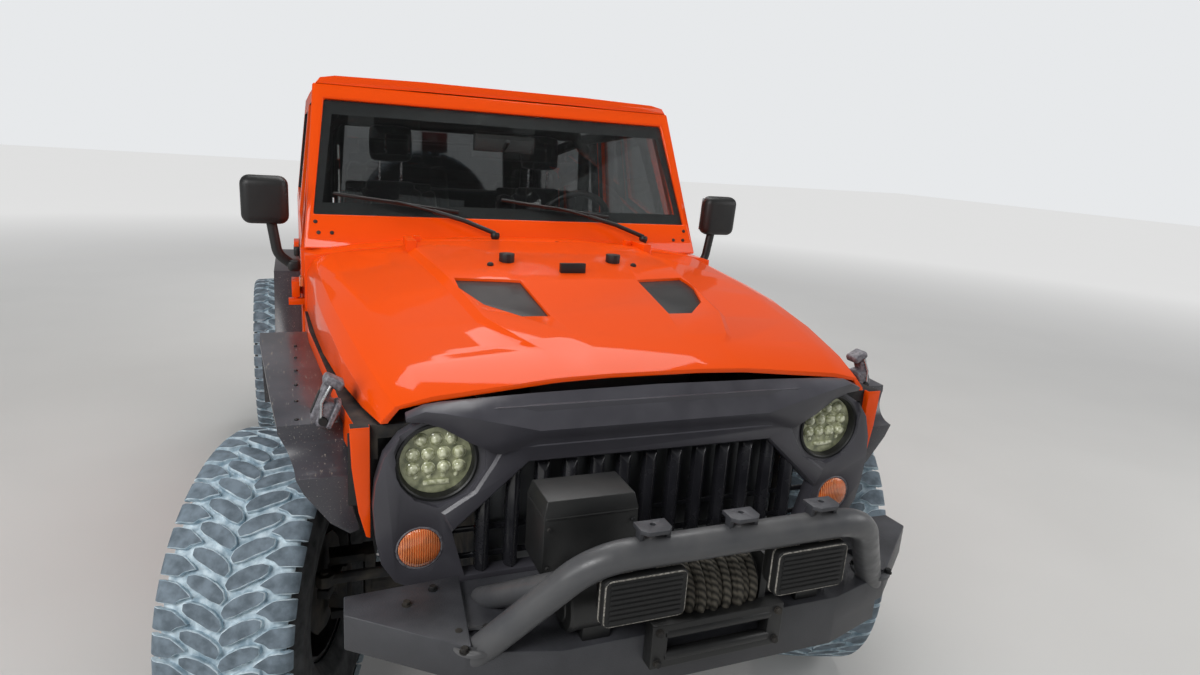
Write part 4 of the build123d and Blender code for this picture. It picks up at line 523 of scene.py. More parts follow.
def lathe(profile, steps):
    """A round shape about Z from points (radius, height) in millimetres."""
    shape = bmesh.new()
    line = [shape.verts.new((radius * MM, 0.0, height * MM)) for radius, height in profile]
    runs = [shape.edges.new(pair) for pair in zip(line, line[1:])]
    bmesh.ops.spin(
        shape, geom=line + runs, cent=(0.0, 0.0, 0.0), axis=(0.0, 0.0, 1.0), angle=2 * pi,
        steps=steps, use_merge=True,
    )
    bmesh.ops.remove_doubles(shape, verts=shape.verts, dist=LATHE_WELD * MM)
    bmesh.ops.recalc_face_normals(shape, faces=shape.faces)
    return shape


def tube(path, radius, sides):
    """A round bar along a path of points in metres, closed at its ends."""
    shape = bmesh.new()
    heading = (path[1] - path[0]).normalized()
    facing = heading.to_track_quat("Z", "Y")
    here = Matrix.Translation(path[0]) @ facing.to_matrix().to_4x4()
    bmesh.ops.create_circle(shape, radius=radius * MM, segments=sides, cap_ends=False, matrix=here)
    first = shape.edges[:]
    rim = first
    for index in range(1, len(path)):
        ahead = (path[min(index + 1, len(path) - 1)] - path[index - 1]).normalized()
        facing = heading.rotation_difference(ahead) @ facing
        heading = ahead
        there = Matrix.Translation(path[index]) @ facing.to_matrix().to_4x4()
        grown = bmesh.ops.extrude_edge_only(shape, edges=rim)["geom"]
        moved = [part for part in grown if isinstance(part, bmesh.types.BMVert)]
        rim = [part for part in grown if isinstance(part, bmesh.types.BMEdge) and part.is_boundary]
        bmesh.ops.transform(shape, matrix=there @ here.inverted(), verts=moved)
        here = there
    bmesh.ops.edgeloop_fill(shape, edges=first)
    bmesh.ops.edgeloop_fill(shape, edges=rim)
    bmesh.ops.recalc_face_normals(shape, faces=shape.faces)
    return shape


def bent(corners, radius, steps=12):
    """The middle line of a tube that goes round corner points at a bend radius in millimetres."""
    line = [corners[0]]
    for before, corner, after in zip(corners, corners[1:], corners[2:]):
        back = (before - corner).normalized()
        onward = (after - corner).normalized()
        half = back.angle(onward) / 2
        start = back * radius * MM / tan(half)
        end = onward * radius * MM / tan(half)
        centre = (back + onward).normalized() * radius * MM / sin(half)
        swing = (start - centre).rotation_difference(end - centre)
        axis, angle = swing.to_axis_angle()
        for step in range(steps + 1):
            line.append(corner + centre + Quaternion(axis, angle * step / steps) @ (start - centre))
    line.append(corners[-1])
    return line


def coil(middle, axis_turn, radius, pitch, turns, steps=16):
    """Points of a screw line, from its middle at the start, about a turned Z axis."""
    turn = turn_by(axis_turn)
    points = []
    for step in range(int(turns * steps) + 1):
        angle = 2 * pi * step / steps
        local = Vector((radius * cos(angle), radius * sin(angle), pitch * step / steps)) * MM
        points.append(middle + turn @ local)
    return points


def put(piece, shape, place=Matrix(), finish=None, keep=False):
    """Adds a small shape to a piece at a place, in one of the piece's finishes."""
    scrap = bpy.data.meshes.new("scrap")
    shape.to_mesh(scrap)
    scrap.transform(place)
    if place.is_negative:
        scrap.flip_normals()
    before = len(piece.faces)
    piece.from_mesh(scrap)
    bpy.data.meshes.remove(scrap)
    if finish is not None:
        for face in list(piece.faces)[before:]:
            face.material_index = finish
    if not keep:
        shape.free()


def stamp(piece, shape, places, finish=None):
    """Adds one small shape to a piece at several places."""
    for place in places:
        put(piece, shape, place, finish, keep=True)
    shape.free()


def place_piece(name, shell, body, finishes, replaced=(), smooth_angle=32.0):
    """Makes an object of a bmesh, with its finishes, and fastens it to a body of the car."""
    mesh = bpy.data.meshes.new(name)
    shell.to_mesh(mesh)
    shell.free()
    for finish in finishes:
        mesh.materials.append(bpy.data.materials[finish])
    mesh.shade_smooth()
    mesh.set_sharp_from_angle(angle=radians(smooth_angle))
    piece = bpy.data.objects.new(name, mesh)
    bpy.context.scene.collection.objects.link(piece)
    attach(piece, body)
    if replaced:
        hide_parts(*replaced)
    return piece


# Small things on a packed surface are dropped on it from this height, in millimetres.
ABOVE = 1500.0


def standing_on(node, x, behind_axle, spin=0.0):
    """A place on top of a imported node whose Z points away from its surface."""
    shell = bmesh.new()
    shell.from_mesh(frame["nodes"][node].data)
    surface = BVHTree.FromBMesh(shell)
    point, normal, _, _ = surface.ray_cast(at(x, behind_axle, ABOVE), Vector((0.0, 0.0, -1.0)))
    shell.free()
    if point is None:
        raise RuntimeError("nothing of " + node + " lies there")
    turn = normal.to_track_quat("Z", "Y").to_matrix().to_4x4()
    return Matrix.Translation(point) @ turn @ Matrix.Rotation(radians(spin), 4, "Z")


def screw_head(radius, steps=12):
    """A domed screw head with a hollow for its key, standing on Z = 0."""
    profile = (
        (radius, -1.0), (radius, 1.5), (radius * 0.75, 3.2), (radius * 0.4, 3.4), (0.0, 2.2),
    )
    return lathe(profile, steps)


def hexagon_head(across, tall):
    """A hexagon bolt head with its washer, standing on Z = 0."""
    washer_r = across * 0.72
    washer_top = 1.6
    corner_r = across * 0.577
    shape = lathe(((washer_r, -1.0), (washer_r, washer_top), (across * 0.5, washer_top + 0.2)), 16)
    nut = bmesh.new()
    bmesh.ops.create_cone(
        nut, cap_ends=True, segments=6, radius1=corner_r * MM, radius2=corner_r * MM,
        depth=tall * MM, matrix=shifted(z=washer_top + tall / 2),
    )
    soften(nut, across * 0.06, 1, 50.0)
    put(shape, nut)
    return shape


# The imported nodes, and the car's measures in millimetres


BODY_OF = {
    node: body
    for body, nodes in frame["record"]["behaviour"]["bodies"].items()
    for node in nodes
}

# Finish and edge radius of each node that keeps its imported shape, edge radius in millimetres.
DRESSED = (
    # node, finish, edge_radius
    ("hood", "orange_enamel", 5.0),
    ("body_sides", "orange_enamel", 6.0),
    ("cowl", "orange_enamel", 4.0),
    ("front_fenders", "orange_enamel", 5.0),
    ("floor_pan", "brushed_chassis_black", 3.0),
    ("windshield_frame", "orange_enamel", 7.0),
    ("hardtop", "orange_enamel", 8.0),
    ("door_left", "orange_enamel", 6.0),
    ("door_right", "orange_enamel", 6.0),
    ("tailgate", "orange_enamel", 6.0),
    ("flares", "scratched_flare_paint", 1.5),
    ("grille", "satin_black_moulding", 4.0),
    ("grille_slats", "gloss_black_moulding", 2.5),
    ("front_bumper", "textured_black_powder", 4.0),
    ("lamp_tabs", "textured_black_powder", 2.0),
    ("winch", "grained_black_plastic", 4.0),
    ("rear_bumper", "textured_black_powder", 5.0),
    ("hood_trim", "grained_black_plastic", 2.0),
    ("dashboard", "grained_black_plastic", 10.0),
    ("sport_bar", "grained_black_plastic", 0.0),
    ("frame", "brushed_chassis_black", 4.0),
    ("axles", "brushed_chassis_black", 3.0),
    ("suspension", "brushed_chassis_black", 3.0),
    ("driveline", "brushed_chassis_black", 3.0),
    ("knuckle_left", "brushed_chassis_black", 3.0),
    ("knuckle_right", "brushed_chassis_black", 3.0),
    ("tie_rod", "brushed_chassis_black", 2.0),
    ("radiator", "raw_alloy", 4.0),
    ("engine", "raw_alloy", 10.0),
    ("brake_lamp", "red_acrylic", 5.0),
    ("spare_carrier", "wheel_paint", 2.0),
    ("rim_front_left", "wheel_paint", 3.0),
    ("rim_front_right", "wheel_paint", 3.0),
    ("rim_rear_left", "wheel_paint", 3.0),
    ("rim_rear_right", "wheel_paint", 3.0),
)
GLAZED = (
    # node, finish
    ("windshield_glass", "clear_glass"),
    ("top_glass", "tinted_glass"),
    ("door_glass_left", "tinted_glass"),
    ("door_glass_right", "tinted_glass"),
)

WHEELBASE = 2424.0
TRACK_HALF = 845.0
KINGPIN_X = 700.0
STEER_REST = -20.0
BODY_X = 775.0
BODY_BACK_A = WHEELBASE + 606.0
SPARE = (50.0, BODY_BACK_A + 239.0, 1165.0)
SCREEN_A = 728.0
SCREEN_Z = 1291.0
SCREEN_RAKE = 26.5
FLOOR_Z = 765.0
SEAT_X = 365.0
STEER_X = 395.0

# What lies under the fenders or faces the cabin is black
INNER_FENDER_X = 655.0
INNER_FENDER_Z = 700.0
TRIMMED_INSIDE = ("hardtop", "body_sides", "door_left", "door_right", "tailgate")
CABIN_MIDDLE = (1700.0, 1350.0)
FACES_CABIN = 0.3

# Lamps, hoop and winch
GRILLE_A = -490.0
HEADLAMP_X = 520.0
HEADLAMP_Z = 1014.0
SIGNAL_X = 558.0
SIGNAL_Z = 820.0
TAIL_LAMP_X = 722.0
TAIL_LAMP_Z = 985.0
HOOP_LINE = ((500, -770, 700), (304, -915, 975), (-304, -915, 975), (-500, -770, 700))
HOOP_BEND = 130.0
HOOP_R = 30.0
HOOP_FOOT = (487.0, -780.0, 742.0)
FOOT_BOLTS_R = 39.0
COVERS_X = (-205.0, 170.0)
COVERS_A = -912.0
COVERS_Z = 890.0
COVER_SIZE = (172.0, 99.0)
FOLDS = 8
FOLD_STEP = 10.5
WINCH_A = -790.0
WINCH_Z = 812.0
CONTROL_BOX_X = -256.0

# Hood, windscreen and sides
LATCH_A = -361.0
WIPER_PIVOTS = (-102.0, 507.0)
WIPER_A = 700.0
LOUVRES_A = 648.0
LOUVRE_STEP = 18
HANDLE_Z = 1165.0
MIRROR_X = 884.0
FILLER_A = WHEELBASE + 480.0
FILLER_Z = 1120.0


def on_screen(x, up, out):
    """A point on the windscreen's plane: across, up the slope, and out of it."""
    rake = radians(SCREEN_RAKE)
    behind_axle = SCREEN_A + up * sin(rake) - out * cos(rake)
    return at(x, behind_axle, SCREEN_Z + up * cos(rake) + out * sin(rake))

# Tyre, in millimetres about its own axle, which is Z
TREAD_R = 434.0
TREAD_DEPTH = 13.0
PITCHES = 44
PITCH = 2 * pi * TREAD_R / PITCHES
SHOULDER_AT = 137.0
SHOULDER_BEND = 26.0
CROWN_DROP = 4.0
LUG_CORNER = 3.5
LUG_EDGE = 2.2
SHOULDER_CUTS = (2.0, 12.0, 22.0)
DUSTY_FROM_R = 404.0
FACES_UP = 0.9
STANDS_UP = 0.5
CENTRE_LUG = (
    (-4, -16), (6, -30), (30, -22), (54, -8), (78, 4), (92, 16), (92, 34), (74, 38), (46, 32),
    (20, 18), (2, 2),
)
SHOULDER_LUG = (
    (74, 48), (100, 40), (112, 30), (171, 34), (171, 84), (132, 82), (112, 78), (100, 70), (84, 58),
)
CARCASS = (
    # radius, out from the middle: one half of the section, from the bead to the crown
    (216, 112), (221, 122), (232, 131), (246, 141), (250, 146), (262, 149), (268, 147), (300, 156),
    (332, 159.5), (336, 161), (352, 161), (356, 159), (378, 154), (396, 149), (408, 144),
    (415, 137), (419, 110), (421, 60), (422, 0),
)


def worn_round(shape):
    """Wraps a flat shape, across X and along Y, round the tyre's tread and over its shoulder."""
    turned_from = TREAD_R - CROWN_DROP - SHOULDER_BEND
    for vert in shape.verts:
        across, along, rise = (value / MM for value in vert.co)
        rise -= TREAD_DEPTH
        side = 1.0 if across > 0 else -1.0
        over = max(0.0, abs(across) - SHOULDER_AT)
        if over:
            lean = over / SHOULDER_BEND
            out = SHOULDER_AT + (SHOULDER_BEND + rise) * sin(lean)
            radius = turned_from + (SHOULDER_BEND + rise) * cos(lean)
        else:
            out = abs(across)
            radius = TREAD_R - CROWN_DROP * (out / SHOULDER_AT) ** 2 + rise
        angle = -along / TREAD_R
        vert.co = Vector((radius * cos(angle), radius * sin(angle), side * out)) * MM


def tread_lug(outline, mirrored, shift):
    """One lug of rubber: its top worn, its walls dusty."""
    side = -1 if mirrored else 1
    lug = plate([(side * x, y + shift) for x, y in outline], TREAD_DEPTH + 1.0, 0.0, LUG_CORNER)
    for cut in SHOULDER_CUTS:
        bmesh.ops.bisect_plane(
            lug, geom=lug.verts[:] + lug.edges[:] + lug.faces[:],
            plane_co=(side * (SHOULDER_AT + cut) * MM, 0.0, 0.0), plane_no=(1.0, 0.0, 0.0),
        )
    for face in lug.faces:
        face.material_index = int(face.normal.z <= FACES_UP)
    rims = []
    for edge in lug.edges:
        tilts = [face.normal.z for face in edge.link_faces]
        if max(tilts) > FACES_UP and min(tilts) < STANDS_UP:
            rims.append(edge)
    bmesh.ops.bevel(
        lug, geom=rims, offset=LUG_EDGE * MM, offset_type="OFFSET", affect="EDGES", segments=1,
        profile=0.5, material=1, clamp_overlap=True,
    )
    bmesh.ops.delete(
        lug, geom=[face for face in lug.faces if face.normal.z < -FACES_UP], context="FACES",
    )
    worn_round(lug)
    return lug


def tyre_shape(tread_steps):
    """A whole tyre about Z: side walls with moulded rings, a dusty base and four rows of lugs."""
    section = [(radius, -out) for radius, out in CARCASS] + list(reversed(CARCASS[:-1]))
    tyre = lathe(section, tread_steps)
    for face in tyre.faces:
        middle = face.calc_center_median()
        radius = Vector((middle.x, middle.y)).length
        face.material_index = 1 if radius > DUSTY_FROM_R * MM else 2
    rows = (
        # outline, mirrored, shift
        (CENTRE_LUG, False, 0.0),
        (CENTRE_LUG, True, PITCH / 2),
        (SHOULDER_LUG, False, 0.0),
        (SHOULDER_LUG, True, PITCH / 2),
    )
    turns = [Matrix.Rotation(2 * pi * pitch / PITCHES, 4, "Z") for pitch in range(PITCHES)]
    for row in rows:
        stamp(tyre, tread_lug(*row), turns)
    return tyre


WHEELS = (
    # name, side, pivot_x, offset, axle_a, turned
    ("front_right", -1, KINGPIN_X, TRACK_HALF - KINGPIN_X, 0.0, STEER_REST),
    ("front_left", 1, KINGPIN_X, TRACK_HALF - KINGPIN_X, 0.0, STEER_REST),
    ("rear_right", -1, TRACK_HALF, 0.0, WHEELBASE, 0.0),
    ("rear_left", 1, TRACK_HALF, 0.0, WHEELBASE, 0.0),
)


def wheel_place(side, pivot_x, offset, axle_a, turned):
    """A wheel's place: its own Z is the axle, and points out of the car."""
    up = Vector((0.0, 0.0, 1.0))
    out = Vector((side * cos(radians(turned)), side * sin(radians(turned)), 0.0))
    centre = at(side * pivot_x, axle_a, AXLE_Z / MM) + out * offset * MM
    turn = Matrix((up.cross(out), up, out)).transposed().to_4x4()
    return Matrix.Translation(centre) @ turn


def wheel_places(prefix, spare_node):
    """The node and the place of each of the five wheels."""
    places = [(prefix + wheel[0], wheel_place(*wheel[1:])) for wheel in WHEELS]
    return [*places, (spare_node, spot(*SPARE, FACING_BACK))]


# The stage: the floor glows only for rays that see it, by distance in metres and strength
FLOOR_COLOUR = "#CFCECB"
FLOOR_HALF = 40.0
GLOW_NEAR = (3.0, 0.06)
GLOW_FAR = (13.0, 0.62)
SKY_LOW = (0.1, 0.34)
SKY_HIGH = (0.8, 0.16)
SKY_SEEN = 0.9
LIGHTS = (
    # name, place, aim, width, height, share of the key light's setting, share in reflections
    ("key", (-3.6, -4.2, 4.2), (0.0, -1.2, 0.9), 2.6, 1.6, 0.9, 0.1),
    ("fill", (4.6, -3.0, 3.0), (0.0, -0.8, 0.9), 3.0, 2.0, 0.4, 0.1),
    ("top", (0.6, 0.8, 5.2), (0.0, 0.2, 0.0), 4.0, 2.4, 0.8, 0.1),
    ("back", (1.5, 5.5, 3.4), (0.0, 1.0, 1.0), 3.5, 2.0, 0.6, 0.1),
    ("window", (-5.4, -3.0, 2.6), (-0.4, -1.7, 0.9), 2.4, 1.8, 0.35, 2.5),
)


# Settings, steps and panel


class CarStageSettings(bpy.types.PropertyGroup):
    """Camera, floor and lights."""

    lens: FloatProperty(
        name="Lens", description="Focal length on a 36 mm wide sensor, in millimetres",
        default=22.376,
    )
    eye: FloatVectorProperty(
        name="Camera place", description="Where the camera stands", size=3,
        default=(-0.7882, -3.2645, 1.6943), subtype="TRANSLATION", unit="LENGTH",
    )
    aim: FloatVectorProperty(
        name="Camera aim", description="Yaw, pitch and roll of the camera", size=3,
        default=(-0.3955, -0.2477, 0.0700), subtype="EULER",
    )
    floor_colour: FloatVectorProperty(
        name="Floor colour", description="Colour of the pale floor", size=4,
        default=linear(FLOOR_COLOUR), subtype="COLOR",
    )
    key_watts: FloatProperty(
        name="Key light", description="Power of the large soft light at the front, in watts",
        default=150.0, min=0.0,
    )


class CarPanelSettings(bpy.types.PropertyGroup):
    """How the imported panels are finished."""

    edge_share: FloatProperty(
        name="Edge rounding", description="Share of the listed edge radius that is used",
        default=1.0, min=0.0, max=2.0,
    )
    edge_steps: IntProperty(
        name="Edge steps", description="Facets across a rounded edge", default=2, min=1, max=4,
    )


class CarTyreSettings(bpy.types.PropertyGroup):
    """How finely the tyres are made."""

    steps: IntProperty(
        name="Tyre steps", description="Facets round a tyre", default=120, min=48, max=240,
    )


class CarSeatSettings(bpy.types.PropertyGroup):
    """How the seats are stuffed."""

    voxel: FloatProperty(
        name="Cloth mesh", description="Size of the remeshed cloth's faces", default=0.006,
        min=0.004, max=0.02, unit="LENGTH",
    )
    pressure: FloatProperty(
        name="Filling", description="Pressure of the foam inside the cloth", default=4.0, min=0.0,
    )


class CAR_OT_finishes(bpy.types.Operator):
    """Mixes every finish"""

    bl_idname = "car.finishes"
    bl_label = "Mix the finishes"

    def execute(self, context):
        for finish in FINISHES:
            finish()
        return {"FINISHED"}


class CAR_OT_stage(bpy.types.Operator):
    """Sets the camera, the pale floor and the soft lights"""

    bl_idname = "car.stage"
    bl_label = "Set the stage"

    def execute(self, context):
        settings = context.scene.car_stage
        scene = context.scene
        scene.view_settings.view_transform = "Standard"

        camera = bpy.data.objects.new("camera", bpy.data.cameras.new("camera"))
        scene.collection.objects.link(camera)
        camera.data.sensor_fit = "HORIZONTAL"
        camera.data.sensor_width = 36.0
        camera.data.lens = settings.lens
        camera.data.clip_end = 100.0
        yaw, pitch, roll = settings.aim
        ahead = Vector((-sin(yaw) * cos(pitch), cos(yaw) * cos(pitch), sin(pitch)))
        level = Vector((cos(yaw), sin(yaw), 0.0))
        upward = level.cross(ahead)
        right = level * cos(roll) + upward * sin(roll)
        up = upward * cos(roll) - level * sin(roll)
        turn = Matrix((right, up, -ahead)).transposed().to_4x4()
        camera.matrix_world = Matrix.Translation(settings.eye) @ turn
        scene.camera = camera

        tree, shader, place = start_finish("matt_floor", FLOOR_COLOUR, 0.9)
        speckle = grain(tree, place, 900.0)
        tone = blend_colour(tree, speckle, "#CCCBC8", "#D2D1CE")
        shade = add_node(
            tree, "ShaderNodeMix",
            {0: 0.5, 6: (tone, 2), 7: tuple(settings.floor_colour)}, data_type="RGBA",
        )
        tree.links.new(shade.outputs[2], shader.inputs["Base Color"])
        seen = any_ray(tree, "Is Camera Ray", "Is Transmission Ray", "Is Glossy Ray")
        away = add_node(tree, "ShaderNodeVectorMath", {0: (place, "Object")}, operation="LENGTH")
        distant = add_node(
            tree, "ShaderNodeMapRange",
            {
                "Value": (away, "Value"), "From Min": GLOW_NEAR[0], "From Max": GLOW_FAR[0],
                "To Min": GLOW_NEAR[1], "To Max": GLOW_FAR[1],
            },
        )
        glow = add_node(tree, "ShaderNodeMath", {0: seen, 1: (distant, 0)}, operation="MULTIPLY")
        tree.links.new(glow.outputs[0], shader.inputs["Emission Strength"])
        shader.inputs["Emission Color"].default_value = linear("#FFFFFF")
        floor_shape = bmesh.new()
        bmesh.ops.create_grid(floor_shape, x_segments=1, y_segments=1, size=FLOOR_HALF)
        floor_mesh = bpy.data.meshes.new("floor")
        floor_shape.to_mesh(floor_mesh)
        floor_shape.free()
        floor_mesh.materials.append(bpy.data.materials["matt_floor"])
        floor = bpy.data.objects.new("floor", floor_mesh)
        scene.collection.objects.link(floor)

        world = bpy.data.worlds.new("studio")
        scene.world = world
        world.use_nodes = True
        sky = world.node_tree
        sky.nodes.clear()
        seen = any_ray(sky, "Is Camera Ray", "Is Transmission Ray")
        direction = add_node(sky, "ShaderNodeTexCoord")
        axes = add_node(sky, "ShaderNodeSeparateXYZ", {0: (direction, "Generated")})
        ceiling = add_node(
            sky, "ShaderNodeMapRange",
            {
                "Value": (axes, 2), "From Min": SKY_LOW[0], "From Max": SKY_HIGH[0],
                "To Min": SKY_LOW[1], "To Max": SKY_HIGH[1],
            },
        )
        strength = add_node(
            sky, "ShaderNodeMix", {0: seen, 2: (ceiling, 0), 3: SKY_SEEN}, data_type="FLOAT",
        )
        back = add_node(
            sky, "ShaderNodeBackground", {"Color": linear("#F2F4F6"), "Strength": (strength, 0)},
        )
        add_node(sky, "ShaderNodeOutputWorld", {"Surface": (back, 0)})

        for name, place, aim, width, height, share, reflected in LIGHTS:
            lamp = bpy.data.lights.new(name, "AREA")
            lamp.shape = "RECTANGLE"
            lamp.size = width
            lamp.size_y = height
            lamp.energy = share * settings.key_watts
            lamp.specular_factor = reflected
            light = bpy.data.objects.new(name, lamp)
            light.location = place
            light.rotation_euler = (Vector(aim) - Vector(place)).to_track_quat("-Z", "Y").to_euler()
            scene.collection.objects.link(light)
        return {"FINISHED"}


class CAR_OT_panels(bpy.types.Operator):
    """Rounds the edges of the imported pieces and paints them"""

    bl_idname = "car.panels"
    bl_label = "Finish the panels"

    def execute(self, context):
        settings = context.scene.car_panels
        cabin = at(0, *CABIN_MIDDLE)
        for node, finish, radius in DRESSED:
            if node not in frame["nodes"]:
                raise RuntimeError("the frame has no node " + node)
            shell = cad_copy(node)
            if radius:
                soften(shell, radius * settings.edge_share, settings.edge_steps)
            finishes = (finish,)
            if node == "front_fenders":
                finishes = (finish, "brushed_chassis_black")
                for face in shell.faces:
                    middle = face.calc_center_median()
                    inner = abs(middle.x) < INNER_FENDER_X * MM or middle.z < INNER_FENDER_Z * MM
                    face.material_index = int(inner)
            if node in TRIMMED_INSIDE:
                finishes = (finish, "grained_black_plastic")
                for face in shell.faces:
                    inward = (cabin - face.calc_center_median()).normalized()
                    face.material_index = int(face.normal.dot(inward) > FACES_CABIN)
            place_piece(node + "_finished", shell, BODY_OF[node], finishes, (node,))
        for node, finish in GLAZED:
            frame["nodes"][node].material_slots[0].material = bpy.data.materials[finish]
        return {"FINISHED"}


class CAR_OT_tyres(bpy.types.Operator):
    """Makes the five tyres, with their tread"""

    bl_idname = "car.tyres"
    bl_label = "Make the tyres"

    def execute(self, context):
        shape = tyre_shape(context.scene.car_tyres.steps)
        finishes = ("tread_rubber", "dusty_rubber", "side_wall_rubber")
        turned_over = Matrix.Rotation(pi, 4, "X")
        for node, place in wheel_places("tyre_", "spare_tyre"):
            # The tread points the same way on both sides of the car.
            if node.endswith("right"):
                place = place @ turned_over
            tyre = bmesh.new()
            put(tyre, shape, place, keep=True)
            place_piece(node + "_treaded", tyre, BODY_OF[node], finishes, (node,), 40.0)
        shape.free()
        return {"FINISHED"}


class CAR_OT_lamps(bpy.types.Operator):
    """Makes the headlamps, signals and rear lamps"""

    bl_idname = "car.lamps"
    bl_label = "Make the lamps"

    def execute(self, context):
        # Headlamp: a black ring, a yellowed reflector, rows of round projectors and a level bar
        lamps = bmesh.new()
        middles = both_sides(HEADLAMP_X, GRILLE_A, HEADLAMP_Z, FACING_FRONT)
        ring = lathe(((92, 0), (92, 28), (90, 33), (85, 34), (82, 31), (80, 22), (78, 14)), 56)
        bowl = lathe(((79, 14), (60, 13), (0, 12)), 56)
        dome = lathe(
            ((15.5, 12), (15.5, 16), (14.2, 17), (13.2, 16), (12.6, 19), (9, 23), (5, 25), (0, 25.5)),
            20,
        )
        dot = lathe(((5.5, 12), (5.5, 14), (3, 16), (0, 16.4)), 12)
        bar = block((58.0, 11.0, 8.0), 3.0)
        rows = (
            # height, places across
            (48.0, (-33.0, 0.0, 33.0)),
            (15.0, (-50.0, -17.0, 17.0, 50.0)),
            (-18.0, (-50.0, -17.0, 17.0, 50.0)),
        )
        cells = [shifted(x, height) for height, across in rows for x in across]
        dots = [shifted(x, -38.0) for x in (-44.0, -15.0, 15.0, 44.0)]
        stamp(lamps, ring, middles, 0)
        stamp(lamps, bowl, middles, 1)
        stamp(lamps, dome, [middle @ cell for middle in middles for cell in cells], 2)
        stamp(lamps, dot, [middle @ place for middle in middles for place in dots], 2)
        stamp(lamps, bar, [middle @ shifted(0.0, -52.0, 15.0) for middle in middles], 2)
        place_piece(
            "headlamps_lit", lamps, "body",
            ("grained_black_plastic", "lamp_reflector", "lamp_projector"), ("headlamps",),
        )

        # Turn signal: a pale ring round a ribbed amber dome
        signals = bmesh.new()
        middles = both_sides(SIGNAL_X, GRILLE_A, SIGNAL_Z, FACING_FRONT)
        ring = lathe(((54, 0), (54, 36), (52.5, 40), (49, 42), (46.5, 41), (45.5, 36)), 48)
        dome = lathe(((46, 34), (45.5, 42), (41, 46), (30, 50), (15, 52), (0, 52.5)), 48)
        stamp(signals, ring, middles, 0)
        stamp(signals, dome, middles, 1)
        place_piece(
            "turn_signals_ribbed", signals, "body", ("grey_nylon_latch", "amber_lens"),
            ("turn_signals",),
        )

        # Rear lamp: a black housing with a red, a white and an amber field
        rear = bmesh.new()
        housing = (100, 34, 170)
        foot = TAIL_LAMP_Z - housing[2] / 2
        fields = (
            # height above the housing's foot, tall, finish
            (42.0, 60.0, 1), (88.0, 26.0, 2), (130.0, 50.0, 3),
        )
        places = both_sides(TAIL_LAMP_X, BODY_BACK_A + housing[1] / 2, TAIL_LAMP_Z)
        stamp(rear, block(housing, 9.0), places, 0)
        for low, tall, finish in fields:
            places = both_sides(TAIL_LAMP_X, BODY_BACK_A + housing[1], foot + low)
            stamp(rear, block((78, 14, tall), 4.0), places, finish)
        place_piece(
            "tail_lamps_lensed", rear, "body",
            ("grained_black_plastic", "red_acrylic", "white_lens", "amber_lens"),
            ("tail_lamps",),
        )
        return {"FINISHED"}


